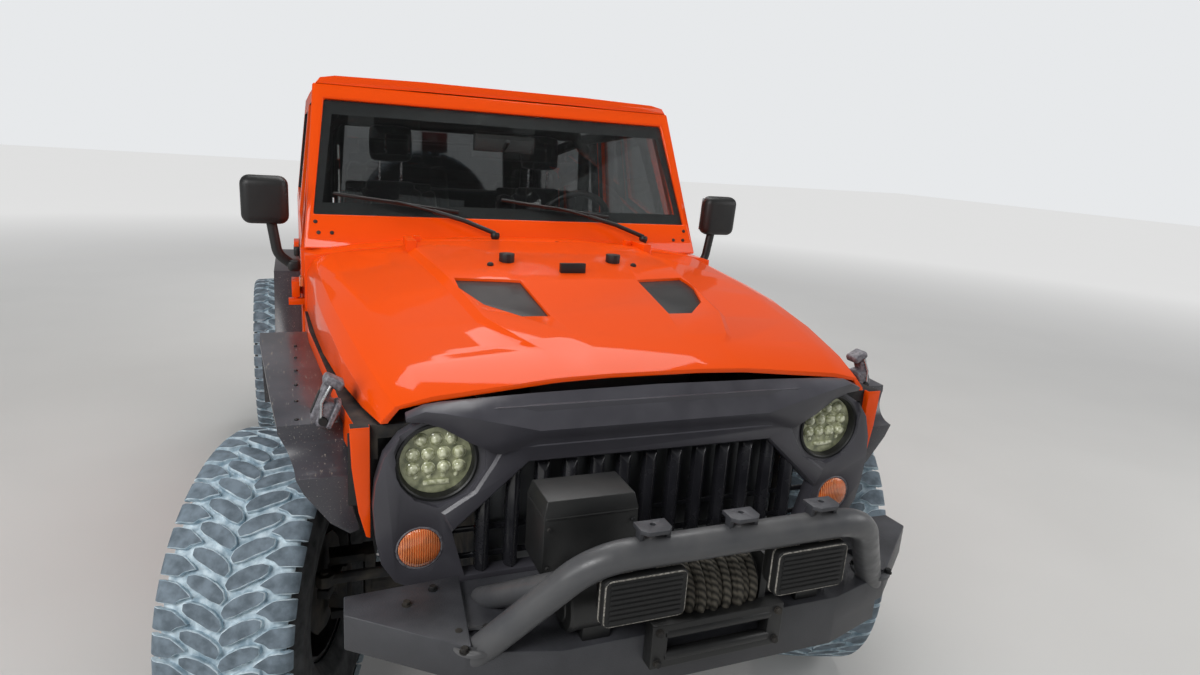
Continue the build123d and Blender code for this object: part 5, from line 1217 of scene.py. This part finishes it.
class CAR_OT_hoop(bpy.types.Operator):
    """Makes the round hoop, its driving lamps and the winch's rope and fittings"""

    bl_idname = "car.hoop"
    bl_label = "Make the hoop and winch fittings"

    def execute(self, context):
        hoop = bmesh.new()
        put(hoop, tube(bent([at(*corner) for corner in HOOP_LINE], HOOP_BEND), HOOP_R, 32))
        for side in (-1, 1):
            put(hoop, tube([at(side * 344, -889, 919), at(side * 440, -620, 730)], 25.0, 28))
        flange = lathe(((46, 0), (46, 6), (44, 8), (31, 8), (31, 14)), 32)
        stamp(hoop, flange, both_sides(*HOOP_FOOT))
        place_piece(
            "bull_bar_round", hoop, "body", ("satin_grey_enamel",),
            ("bull_bar",), 50.0,
        )

        # Driving lamps under canvas covers: level folds, and pale piping round each edge
        lamps = bmesh.new()
        wide = COVER_SIZE[0] / 2
        tall = COVER_SIZE[1] / 2
        outline = ((-wide, -tall), (wide, -tall), (wide, tall), (-wide, tall))
        for x in COVERS_X:
            front = spot(x, COVERS_A, COVERS_Z, FACING_FRONT)
            put(lamps, plate(outline, 26.0, 4.0, 12.0), front, 0)
            shell = block((COVER_SIZE[0] - 12, 40, COVER_SIZE[1] - 12), 14.0)
            put(lamps, shell, spot(x, COVERS_A + 20, COVERS_Z), 2)
            for fold in range(FOLDS):
                bar = block((COVER_SIZE[0] - 24, 5, 7.0), 2.2, 2)
                height = COVERS_Z + (fold - (FOLDS - 1) / 2) * FOLD_STEP
                put(lamps, bar, spot(x, COVERS_A - 26.5, height), 0)
            for depth, inset in ((COVERS_A - 24, 3.0), (COVERS_A - 5, 0.0)):
                side = wide - inset
                rise = tall - inset
                corners = (
                    (-side, 0.0), (-side, rise), (side, rise), (side, -rise), (-side, -rise),
                    (-side, -1.0),
                )
                loop = [at(x + across, depth, COVERS_Z + up) for across, up in corners]
                put(lamps, tube(bent(loop, 13.0, 6), 1.8, 8), finish=1)
            put(lamps, block((50, 30, 34), 4.0), spot(x, COVERS_A + 7, COVERS_Z + 60), 2)
        place_piece(
            "driving_lamps_covered", lamps, "body",
            ("lamp_cover_cloth", "pale_piping", "grained_black_plastic"),
            ("driving_lamps",), 40.0,
        )

        # Winch rope: one full layer on the drum, laid unevenly, and part of a second
        rope = bmesh.new()
        uneven = []
        for index, point in enumerate(coil(at(-98, WINCH_A, WINCH_Z), FACING_LEFT, 67.0, 21.5, 9.0, 20)):
            wave = sin(1.7 * index) * (1 + sin(0.23 * index))
            uneven.append(point + Vector((0.0, 0.0, 1.6 * MM * wave)))
        put(rope, tube(uneven, 10.6, 10))
        second = coil(at(-60, WINCH_A, WINCH_Z), FACING_LEFT, 77.0, 30.0, 4.6, 20)
        put(rope, tube(second, 8.6, 8))
        place_piece("winch_rope", rope, "body", ("plaited_rope",))

        # Winch fittings: cases and caps of motor and gearbox, the control box's lid, two rollers
        fittings = bmesh.new()
        for side in (-1, 1):
            cap = lathe(((61, -12), (61, 0), (57, 5), (40, 9), (38, 12), (0, 13)), 36)
            put(fittings, cap, spot(side * 312, WINCH_A, WINCH_Z, (0.0, side * 90.0, 0.0)), 0)
        for x, radius, reach in ((-215, 60, 92), (215, 54, 94)):
            case = lathe(((radius, -reach), (radius, reach)), 36)
            put(fittings, case, spot(x, WINCH_A, WINCH_Z, FACING_LEFT), 0)
        lid = plate(((-103, -62), (103, -62), (103, 62), (-103, 62)), 5.0, 1.5, 10.0)
        put(fittings, lid, spot(CONTROL_BOX_X, -715, 984), 0)
        for x in (CONTROL_BOX_X - 90, CONTROL_BOX_X + 90):
            for z in (880, 965):
                put(fittings, screw_head(5.0), spot(x, -776, z, FACING_FRONT), 1)
        for z in (708, 760):
            roller = lathe(((0, -124), (9, -124), (11, -120), (11, 120), (9, 124), (0, 124)), 20)
            put(fittings, roller, spot(0, -879, z, FACING_LEFT), 0)
        for z in (698, 768):
            stamp(fittings, hexagon_head(13.0, 7.0), both_sides(140, -886, z, FACING_FRONT), 1)
        place_piece(
            "winch_fittings", fittings, "body", ("grained_black_plastic", "brushed_chassis_black"),
        )

        # Bolts of the hoop's feet and the bumper
        bolts = bmesh.new()
        places = []
        for foot in both_sides(*HOOP_FOOT):
            for turn in range(4):
                angle = radians(45 + 90 * turn)
                hole = shifted(FOOT_BOLTS_R * cos(angle), FOOT_BOLTS_R * sin(angle), 7.0)
                places.append(foot @ hole)
        for x, a, z in ((600, -640, 757), (540, -600, 757), (380, -640, 742), (380, -720, 742)):
            places += both_sides(x, a, z)
        stamp(bolts, hexagon_head(14.0, 8.0), places)
        place_piece("bumper_bolts", bolts, "body", ("brushed_chassis_black",))
        return {"FINISHED"}


class CAR_OT_hood_fittings(bpy.types.Operator):
    """Makes the latches, the wipers, the cowl's slots and the hood's small fittings"""

    bl_idname = "car.hood_fittings"
    bl_label = "Make the hood's fittings"

    def execute(self, context):
        # Over-centre latches at the hood's front corners: a base, then catch, lever, grip and cap
        parts = (
            # size, rounding, steps, x, z, lean, finish
            ((34, 50, 62), 10.0, 3, 740, 1088, -14.0, 0),
            ((22, 40, 92), 8.0, 3, 747, 1116, -22.0, 0),
            ((16, 20, 56), 4.0, 2, 755, 1112, -22.0, 2),
            ((46, 48, 22), 8.0, 3, 722, 1158, -28.0, 0),
        )
        for side, name in ((-1, "right"), (1, "left")):
            latch = bmesh.new()
            base = plate(((-30, -34), (30, -34), (34, 6), (22, 34), (-22, 34), (-34, 6)), 12.0, 2.5, 8.0)
            put(latch, base, spot(side * 718, LATCH_A, 1084, (0.0, side * 66.0, 0.0)), 0)
            for size, rounding, steps, x, z, lean, finish in parts:
                place = spot(side * x, LATCH_A, z, (0.0, side * lean, 0.0))
                put(latch, block(size, rounding, steps), place, finish)
            for edge in (-24, 24):
                line = ((750, 1078), (748, 1118), (728, 1156))
                wire = [at(side * x, LATCH_A + edge, z) for x, z in line]
                put(latch, tube(wire, 4.0, 10), finish=1)
            pin = lathe(((0, -32), (9, -32), (10, -29), (10, 29), (9, 32), (0, 32)), 18)
            put(latch, pin, spot(side * 746, LATCH_A, 1076, FACING_FRONT), 2)
            replaced = ("hood_latches",) if side > 0 else ()
            place_piece(
                "hood_latch_" + name, latch, "body",
                ("grey_nylon_latch", "bright_steel", "grained_black_plastic"),
                replaced,
            )

        # Wipers: a capped pivot, a tapering arm and a blade along the glass
        wipers = bmesh.new()
        blade = ((120, 150, 3), (350, 176, 8), (560, 206, 3))
        spine = ((200, 159, 10), (350, 176, 19), (480, 194, 10))
        for pivot in WIPER_PIVOTS:
            boss = lathe(((13, -42), (14, 0), (17, 4), (17, 14), (13, 20), (0, 21)), 24)
            put(wipers, boss, spot(pivot, WIPER_A, 1345))
            shoulder = at(pivot, WIPER_A, 1362)
            elbow = on_screen(pivot - 215, 142, 26)
            crook = shoulder.lerp(elbow, 0.5) + Vector((0.0, 0.0, 6 * MM))
            tip = on_screen(pivot - 350, 176, 22)
            put(wipers, tube([shoulder, crook, elbow], 8.5, 10))
            put(wipers, tube([elbow, tip], 5.0, 8))
            edge = [on_screen(pivot - x, up, out) for x, up, out in blade]
            put(wipers, tube(bent(edge, 900.0, 8), 6.5, 8))
            put(wipers, tube([on_screen(pivot - x, up, out) for x, up, out in spine], 3.6, 6))
        place_piece(
            "wipers_bladed", wipers, "body", ("grained_black_plastic",),
            ("wipers",), 45.0,
        )

        # Cowl: raised louvres with dark gaps, in two groups, for the air intake
        slots = bmesh.new()
        across = [*range(-300, -120, LOUVRE_STEP), *range(140, 320, LOUVRE_STEP)]
        places = [standing_on("cowl", x, LOUVRES_A, 32.0) for x in across]
        stamp(slots, block((8.0, 46.0, 6.0), 2.0), places, 0)
        gaps = [place @ shifted(8.0, 0.0, -1.2) for place in places]
        stamp(slots, block((7.0, 42.0, 4.0), 1.5), gaps, 1)
        place_piece(
            "cowl_louvres", slots, "body", ("orange_enamel", "brushed_chassis_black"),
        )

        # Three screws at each lower corner of the windscreen
        screws = bmesh.new()
        turn = turn_by((90 - SCREEN_RAKE, 0.0, 0.0))
        places = []
        for side in (-1, 1):
            for x, up in ((672, 60), (716, 60), (725, 100)):
                places.append(Matrix.Translation(on_screen(side * x, up, 0)) @ turn)
        stamp(screws, screw_head(7.0), places)
        place_piece(
            "screen_screws", screws, "body", ("brushed_chassis_black",),
        )

        # Hood: a washer nozzle on each side
        nozzles = bmesh.new()
        places = [standing_on("hood", side * 240, 200) for side in (-1, 1)]
        stamp(nozzles, lathe(((10, -1), (10, 5), (6, 9), (0, 10)), 18), places)
        place_piece("washer_nozzles", nozzles, "hood", ("grained_black_plastic",))
        return {"FINISHED"}


# The steering wheel's grip, and the windscreen's band on the glass's inner face, in millimetres
GRIP_AT = 171.0
GRIP_R = 15.0
GRIP_SIDES = 14
BAND_AT = -15.6
BAND_THICK = 0.6


class CAR_OT_cabin(bpy.types.Operator):
    """Makes the steering wheel, the glass band and the details of the dashboard"""

    bl_idname = "car.cabin"
    bl_label = "Make the cabin's details"

    def execute(self, context):
        # Steering wheel: a round grip, a boss and three spokes
        wheel = bmesh.new()
        grip = []
        for step in range(GRIP_SIDES + 1):
            angle = 2 * pi * step / GRIP_SIDES
            grip.append((GRIP_AT + GRIP_R * cos(angle), GRIP_R * sin(angle)))
        boss = ((12, -70), (12, -42), (62, -38), (66, -20), (60, -6), (40, 0), (0, 2))
        middle = spot(STEER_X, 1230, 1337, (-65.0, 0.0, 0.0))
        put(wheel, lathe(grip, 64), middle)
        put(wheel, lathe(boss, 36), middle)
        for turn in (0.0, 180.0, 270.0):
            place = Matrix.Rotation(radians(turn), 4, "Z") @ shifted(108.0, 0.0, -12.0)
            put(wheel, block((118, 40, 12), 5.0), middle @ place)
        place_piece(
            "steering_wheel_moulded", wheel, "steering_wheel", ("grained_black_plastic",),
            ("steering_wheel",), 45.0,
        )

        # The fired black band round the windscreen's inner face
        rake = radians(SCREEN_RAKE)
        slope = Matrix(((1, 0, 0), (0, sin(rake), cos(rake)), (0, -cos(rake), sin(rake))))
        face = Matrix.Translation(at(0, SCREEN_A, SCREEN_Z)) @ slope.transposed().to_4x4()
        band = bmesh.new()
        outlines = (
            ((-731, 130), (731, 130), (681, 575), (-681, 575)),
            ((-699, 178), (699, 178), (656, 520), (-656, 520)),
        )
        loops = []
        for outline in outlines:
            points = [band.verts.new((x * MM, y * MM, BAND_AT * MM)) for x, y in outline]
            loops += [band.edges.new((points[i - 1], points[i])) for i in range(4)]
        bmesh.ops.bridge_loops(band, edges=loops)
        bmesh.ops.solidify(band, geom=band.faces[:], thickness=BAND_THICK * MM)
        bmesh.ops.recalc_face_normals(band, faces=band.faces)
        bmesh.ops.transform(band, matrix=face, verts=band.verts)
        place_piece("windscreen_band", band, "body", ("black_frit",))

        # Dashboard: a hooded cluster, round vents, a grab bar, a middle stack and two levers
        dash = bmesh.new()
        cluster = lathe(((150, 0), (156, 40), (140, 70), (120, 74), (116, 30), (0, 26)), 40)
        flattened = Matrix.Diagonal((1.0, 0.62, 1.0, 1.0))
        put(dash, cluster, spot(STEER_X, 1010, 1262, (-75.0, 0.0, 0.0)) @ flattened, 0)
        vent = lathe(((42, 0), (42, 10), (36, 13), (33, 6), (0, 2)), 28)
        stamp(dash, vent, [spot(x, 1032, 1200, (-75.0, 0.0, 0.0)) for x in (-600, -60, 60, 600)], 0)
        bar = [at(-560, 1040, 1190), at(-560, 1085, 1200), at(-250, 1085, 1200), at(-250, 1040, 1190)]
        put(dash, tube(bent(bar, 20.0, 6), 13, 12), finish=0)
        put(dash, block((190, 30, 200), 10.0), spot(0, 1035, 1110, (-15.0, 0.0, 0.0)), 0)
        for a, x, reach in ((1180, 40, 150), (1230, -40, 120)):
            put(dash, tube([at(x, a, 1060), at(x, a + 20, 1060 + reach)], 7, 10), finish=1)
            knob = lathe(((0, -20), (17, -16), (22, 0), (17, 16), (0, 20)), 20)
            put(dash, knob, spot(x, a + 21, 1066 + reach), 0)
        place_piece(
            "dashboard_details", dash, "body", ("grained_black_plastic", "bright_steel"),
            (), 45.0,
        )
        return {"FINISHED"}


# The cloth moves by MOST_SWELL metres at most, and a seam is a groove of GROOVE_HALF millimetres
MOST_SWELL = 0.012
CLOTH_FRAMES = 20
CORNER_SHARE = 0.28
GROOVE_HALF = 5.0
GROOVE_ENDS = 3.0
# Each pad: its blocks (size, middle, turn), its place, and its seams (axis, line, depth), in millimetres
PADS = (
    (
        "front_cushion",
        (((300, 350, 110), (0, 0, 0), (3, 0, 0)), ((70, 360, 128), (-182, -2, 6), (3, 0, 4)),
         ((70, 360, 128), (182, -2, 6), (3, 0, -4))),
        (SEAT_X, 1378, 916, (0.0, 0.0, 0.0)),
        ((1, -70, 5), (1, 40, 5), (0, -90, 4), (0, 90, 4)), "front_seats",
    ),
    (
        "front_backrest",
        (((290, 520, 88), (0, 0, 0), (0, 0, 0)), ((74, 500, 112), (-180, -6, 8), (0, 6, 0)),
         ((74, 500, 112), (180, -6, 8), (0, -6, 0)), ((230, 90, 84), (0, 250, -2), (0, 0, 0))),
        (SEAT_X, 1668, 1196, (80.0, 0.0, 0.0)),
        ((1, -140, 5), (1, -10, 5), (1, 120, 5), (0, -88, 4), (0, 88, 4)), "front_seats",
    ),
    (
        "front_headrest",
        (((186, 158, 66), (0, 0, 0), (0, 0, 0)),),
        (SEAT_X, 1705, 1650, (84.0, 0.0, 0.0)), (), "front_seats",
    ),
    (
        "rear_cushion",
        (((1000, 370, 120), (0, 0, 0), (2, 0, 0)),),
        (0.0, WHEELBASE - 205, 968, (0.0, 0.0, 0.0)), ((0, 0, 7), (0, -250, 5), (0, 250, 5)), "rear_seat",
    ),
    (
        "rear_backrest",
        (((1000, 370, 92), (0, 0, 0), (0, 0, 0)),),
        (0.0, WHEELBASE + 86, 1222, (78.0, 0.0, 0.0)), ((0, 0, 7), (0, -250, 5), (0, 250, 5)), "rear_seat",
    ),
)


def stuff(name, blocks, place, grooves, pressure, voxel):
    """Foam under cloth: overlapping rounded blocks made one skin, swollen, then grooved by its seams."""
    skin = bmesh.new()
    for size, middle, turn in blocks:
        local = Matrix.Translation(Vector(middle) * MM) @ turn_by(turn)
        put(skin, block(size, min(size) * CORNER_SHARE, 3), local)
    mesh = bpy.data.meshes.new(name)
    skin.to_mesh(mesh)
    skin.free()
    pad = bpy.data.objects.new(name, mesh)
    bpy.context.scene.collection.objects.link(pad)

    def keep_shape():
        """Makes what the modifiers show the pad's own mesh."""
        depsgraph = bpy.context.evaluated_depsgraph_get()
        fresh = bpy.data.meshes.new_from_object(pad.evaluated_get(depsgraph))
        pad.modifiers.clear()
        pad.data = fresh

    remesh = pad.modifiers.new("remesh", "REMESH")
    remesh.mode = "VOXEL"
    remesh.voxel_size = voxel
    keep_shape()
    start = [vert.co.copy() for vert in pad.data.vertices]
    cloth = pad.modifiers.new("cloth", "CLOTH")
    cloth.settings.quality = 4
    cloth.settings.use_pressure = True
    cloth.settings.uniform_pressure_force = pressure
    cloth.settings.effector_weights.gravity = 0.0
    cloth.settings.tension_stiffness = 20.0
    cloth.settings.compression_stiffness = 20.0
    cloth.collision_settings.use_collision = False
    cloth.point_cache.frame_start = 1
    cloth.point_cache.frame_end = CLOTH_FRAMES
    for number in range(1, CLOTH_FRAMES + 1):
        bpy.context.scene.frame_set(number)
    keep_shape()
    for vert, before in zip(pad.data.vertices, start):
        shift = vert.co - before
        if shift.length > MOST_SWELL:
            vert.co = before + shift.normalized() * MOST_SWELL
    bpy.context.scene.frame_set(1)
    for vert in pad.data.vertices:
        for axis, line, depth in grooves:
            away = abs(vert.co[axis] - line * MM) / (GROOVE_HALF * MM)
            if away < GROOVE_ENDS and vert.co.z > 0:
                vert.co.z -= depth * MM * exp(-away * away)
    pad.data.transform(place)
    pad.data.shade_smooth()
    pad.data.materials.clear()
    pad.data.materials.append(bpy.data.materials["woven_seat_cloth"])
    return pad


class CAR_OT_seats(bpy.types.Operator):
    """Makes the stuffed pads of the seats, and the frames and posts that carry them"""

    bl_idname = "car.seats"
    bl_label = "Make the seats"

    def execute(self, context):
        settings = context.scene.car_seats
        for name, blocks, (x, a, z, turn), grooves, node in PADS:
            own_name = name + "_left" if x else name
            place = spot(x, a, z, turn)
            pads = [stuff(own_name, blocks, place, grooves, settings.pressure, settings.voxel)]
            if x:
                other = bpy.data.objects.new(name + "_right", pads[0].data.copy())
                other.data.transform(shifted(-2 * x))
                context.scene.collection.objects.link(other)
                pads.append(other)
            for soft in pads:
                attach(soft, "body")

        frames = bmesh.new()
        for side in (-1, 1):
            x = side * SEAT_X
            for rail in (-190, 190):
                put(frames, block((26, 420, 34), 4.0), spot(x + rail, 1420, FLOOR_Z + 20), 0)
                put(frames, block((18, 360, 60), 5.0), spot(x + rail, 1400, FLOOR_Z + 62), 0)
            put(frames, block((420, 400, 24), 8.0), spot(x, 1400, 846), 0)
            put(frames, block((400, 30, 560), 12.0), spot(x, 1728, 1190, (-9.0, 0.0, 0.0)), 0)
            put(frames, block((44, 180, 90), 14.0), spot(x + side * 228, 1560, 900), 0)
            for post in (-50, 50):
                put(frames, tube([at(x + post, 1712, 1440), at(x + post, 1712, 1620)], 6.5, 14), finish=1)
        place_piece(
            "seat_frames", frames, "body", ("grained_black_plastic", "bright_steel"),
            ("front_seats",), 45.0,
        )
        bench = bmesh.new()
        put(bench, block((980, 380, 120), 14.0), spot(0, WHEELBASE - 180, FLOOR_Z + 62), 0)
        put(bench, block((980, 34, 560), 14.0), spot(0, WHEELBASE + 142, 1120, (-8.0, 0.0, 0.0)), 0)
        place_piece(
            "rear_seat_frame", bench, "body", ("grained_black_plastic",),
            ("rear_seat",), 45.0,
        )
        return {"FINISHED"}


class CAR_OT_underside(bpy.types.Operator):
    """Makes the coil springs and the wheels' nuts"""

    bl_idname = "car.underside"
    bl_label = "Make the springs and nuts"

    def execute(self, context):
        springs = bmesh.new()
        rows = (
            # x, behind_axle, low, high, coil_radius, wire_radius, turns
            (475.0, 0.0, 480.0, 866.0, 48.0, 8.0, 7.0),
            (478.0, WHEELBASE + 10, 480.0, 742.0, 51.0, 8.5, 5.0),
        )
        for x, a, low, high, radius, wire, turns in rows:
            pitch = (high - low - 24) / turns
            cup_line = (
                (0, 0), (radius + 16, 0), (radius + 18, 4), (radius + 16, 9), (radius - 14, 10),
                (radius - 18, 16), (0, 16),
            )
            for side in (-1, 1):
                line = coil(at(side * x, a, low + 12), (0.0, 0.0, 0.0), radius, pitch, turns, 20)
                put(springs, tube(line, wire, 10), finish=0)
                for z in (low - 1, high - 14):
                    put(springs, lathe(cup_line, 32), spot(side * x, a, z), 0)
                bump = lathe(((0, 0), (26, 0), (30, 20), (24, 40), (28, 60), (20, 90), (0, 96)), 24)
                put(springs, bump, spot(side * x, a, high - 12, (180.0, 0.0, 0.0)), 1)
        place_piece(
            "coil_springs", springs, "body", ("brushed_chassis_black", "grained_black_plastic"),
            ("springs",), 50.0,
        )

        # A capped hub, wheel nuts, a bead ring and its screws on each rim
        face = bmesh.new()
        put(face, lathe(((24, 99), (30, 101), (34, 108), (30, 116), (0, 119)), 36), finish=1)
        bead = lathe(((202, 60), (204, 100), (214, 112), (222, 116), (224, 110), (216, 104)), 96)
        put(face, bead, finish=0)
        rings = (
            # shape, number, radius, height, first turn in steps
            (hexagon_head(19.0, 16.0), 5, 48.0, 99.5, 0.5),
            (screw_head(4.5, 8), 20, 215.5, 111.5, 0.0),
        )
        for shape, number, radius, height, first in rings:
            angles = [2 * pi * (step + first) / number for step in range(number)]
            places = [shifted(radius * cos(angle), radius * sin(angle), height) for angle in angles]
            stamp(face, shape, places, 1)
        for node, place in wheel_places("rim_", "spare_carrier"):
            rim = bmesh.new()
            put(rim, face, place, keep=True)
            place_piece(
                node + "_bolted", rim, BODY_OF[node], ("wheel_paint", "bright_steel"),
                (), 45.0,
            )
        face.free()
        return {"FINISHED"}


class CAR_OT_trim(bpy.types.Operator):
    """Makes the door handles, mirrors, splash shields, side markers, flare screws and filler cap"""

    bl_idname = "car.trim"
    bl_label = "Make the trim"

    def execute(self, context):
        for side, name in ((-1, "right"), (1, "left")):
            handle = bmesh.new()
            pan = plate(((-92, -34), (92, -34), (92, 34), (-92, 34)), 5.0, 2.0, 14.0)
            put(handle, pan, spot(side * 774, 1595, HANDLE_Z, (90.0, 0.0, 90.0 * side)), 0)
            put(handle, block((26, 150, 40), 9.0, 3), spot(side * 788, 1590, HANDLE_Z - 5), 0)
            lock = lathe(((14, 0), (14, 6), (11, 9), (0, 9)), 24)
            put(handle, lock, spot(side * 779, 1668, HANDLE_Z, (0.0, 90.0 * side, 0.0)), 1)
            place_piece(
                "door_handle_" + name, handle, "door_" + name, ("grained_black_plastic", "bright_steel"),
            )
            mirror = bmesh.new()
            tilt = (4.0, 0.0, 0.0)
            put(mirror, block((150, 74, 162), 30.0, 5), spot(side * MIRROR_X, 776, 1450, tilt), 0)
            put(mirror, block((126, 4, 134), 1.5), spot(side * MIRROR_X, 813, 1452, tilt), 1)
            arm = [at(side * 800, 790, 1222), at(side * 850, 789, 1262), at(side * 868, 788, 1385)]
            put(mirror, tube(bent(arm, 60.0, 8), 17.0, 18), finish=0)
            put(mirror, block((42, 62, 40), 12.0, 3), spot(side * 798, 790, 1224), 0)
            place_piece(
                "mirror_head_" + name, mirror, "door_" + name, ("grained_black_plastic", "bright_steel"),
                ("mirror_" + name,), 45.0,
            )
        shields = bmesh.new()
        stamp(shields, block((120, 5, 170), 2.0), both_sides(640, -452, 985))
        place_piece("splash_shields", shields, "body", ("grained_black_plastic",))
        marks = bmesh.new()
        stamp(marks, block((14, 64, 30), 5.0), both_sides(776, 668, 1190))
        place_piece("side_markers", marks, "body", ("amber_lens",))
        screws = bmesh.new()
        places = [standing_on("flares", side * 800, a) for side in (-1, 1) for a in range(-330, 420, 125)]
        stamp(screws, screw_head(5.0), places)
        place_piece("flare_screws", screws, "body", ("grained_black_plastic",))
        cap = bmesh.new()
        disc = lathe(((74, -2), (74, 5), (68, 8), (60, 4), (0, 2)), 40)
        put(cap, disc, spot(BODY_X, FILLER_A, FILLER_Z, FACING_LEFT))
        put(cap, block((16, 90, 26), 7.0), spot(BODY_X + 10, FILLER_A, FILLER_Z))
        place_piece("filler_cap", cap, "body", ("grained_black_plastic",))
        return {"FINISHED"}


class CAR_PT_sidebar(bpy.types.Panel):
    """The steps of dressing the car"""

    bl_label = "Car"
    bl_idname = "CAR_PT_sidebar"
    bl_space_type = "VIEW_3D"
    bl_region_type = "UI"
    bl_category = "Car"

    def draw(self, context):
        """Lists the steps, then the settings."""
        for step in STEPS:
            self.layout.operator(step.bl_idname)
        for name, _ in SETTINGS:
            group = getattr(context.scene, name)
            for prop in group.bl_rna.properties:
                if prop.identifier not in ("rna_type", "name"):
                    self.layout.prop(group, prop.identifier)


SETTINGS = (
    ("car_stage", CarStageSettings), ("car_panels", CarPanelSettings), ("car_tyres", CarTyreSettings),
    ("car_seats", CarSeatSettings),
)
STEPS = (
    CAR_OT_finishes, CAR_OT_stage, CAR_OT_panels, CAR_OT_tyres, CAR_OT_lamps, CAR_OT_hoop,
    CAR_OT_hood_fittings, CAR_OT_cabin, CAR_OT_seats, CAR_OT_underside, CAR_OT_trim,
)


def register():
    """Makes the settings, the steps and the panel known to Blender."""
    for name, group in SETTINGS:
        bpy.utils.register_class(group)
        setattr(bpy.types.Scene, name, PointerProperty(type=group))
    for step in (*STEPS, CAR_PT_sidebar):
        bpy.utils.register_class(step)


def unregister():
    """Takes the panel, the steps and the settings away again."""
    for step in reversed((*STEPS, CAR_PT_sidebar)):
        bpy.utils.unregister_class(step)
    for name, group in reversed(SETTINGS):
        delattr(bpy.types.Scene, name)
        bpy.utils.unregister_class(group)


def main():
    register()
    bpy.ops.car.finishes()
    bpy.ops.car.stage()
    bpy.ops.car.panels()
    bpy.ops.car.tyres()
    bpy.ops.car.lamps()
    bpy.ops.car.hoop()
    bpy.ops.car.hood_fittings()
    bpy.ops.car.cabin()
    bpy.ops.car.seats()
    bpy.ops.car.underside()
    bpy.ops.car.trim()


if __name__ == "__main__":
    main()
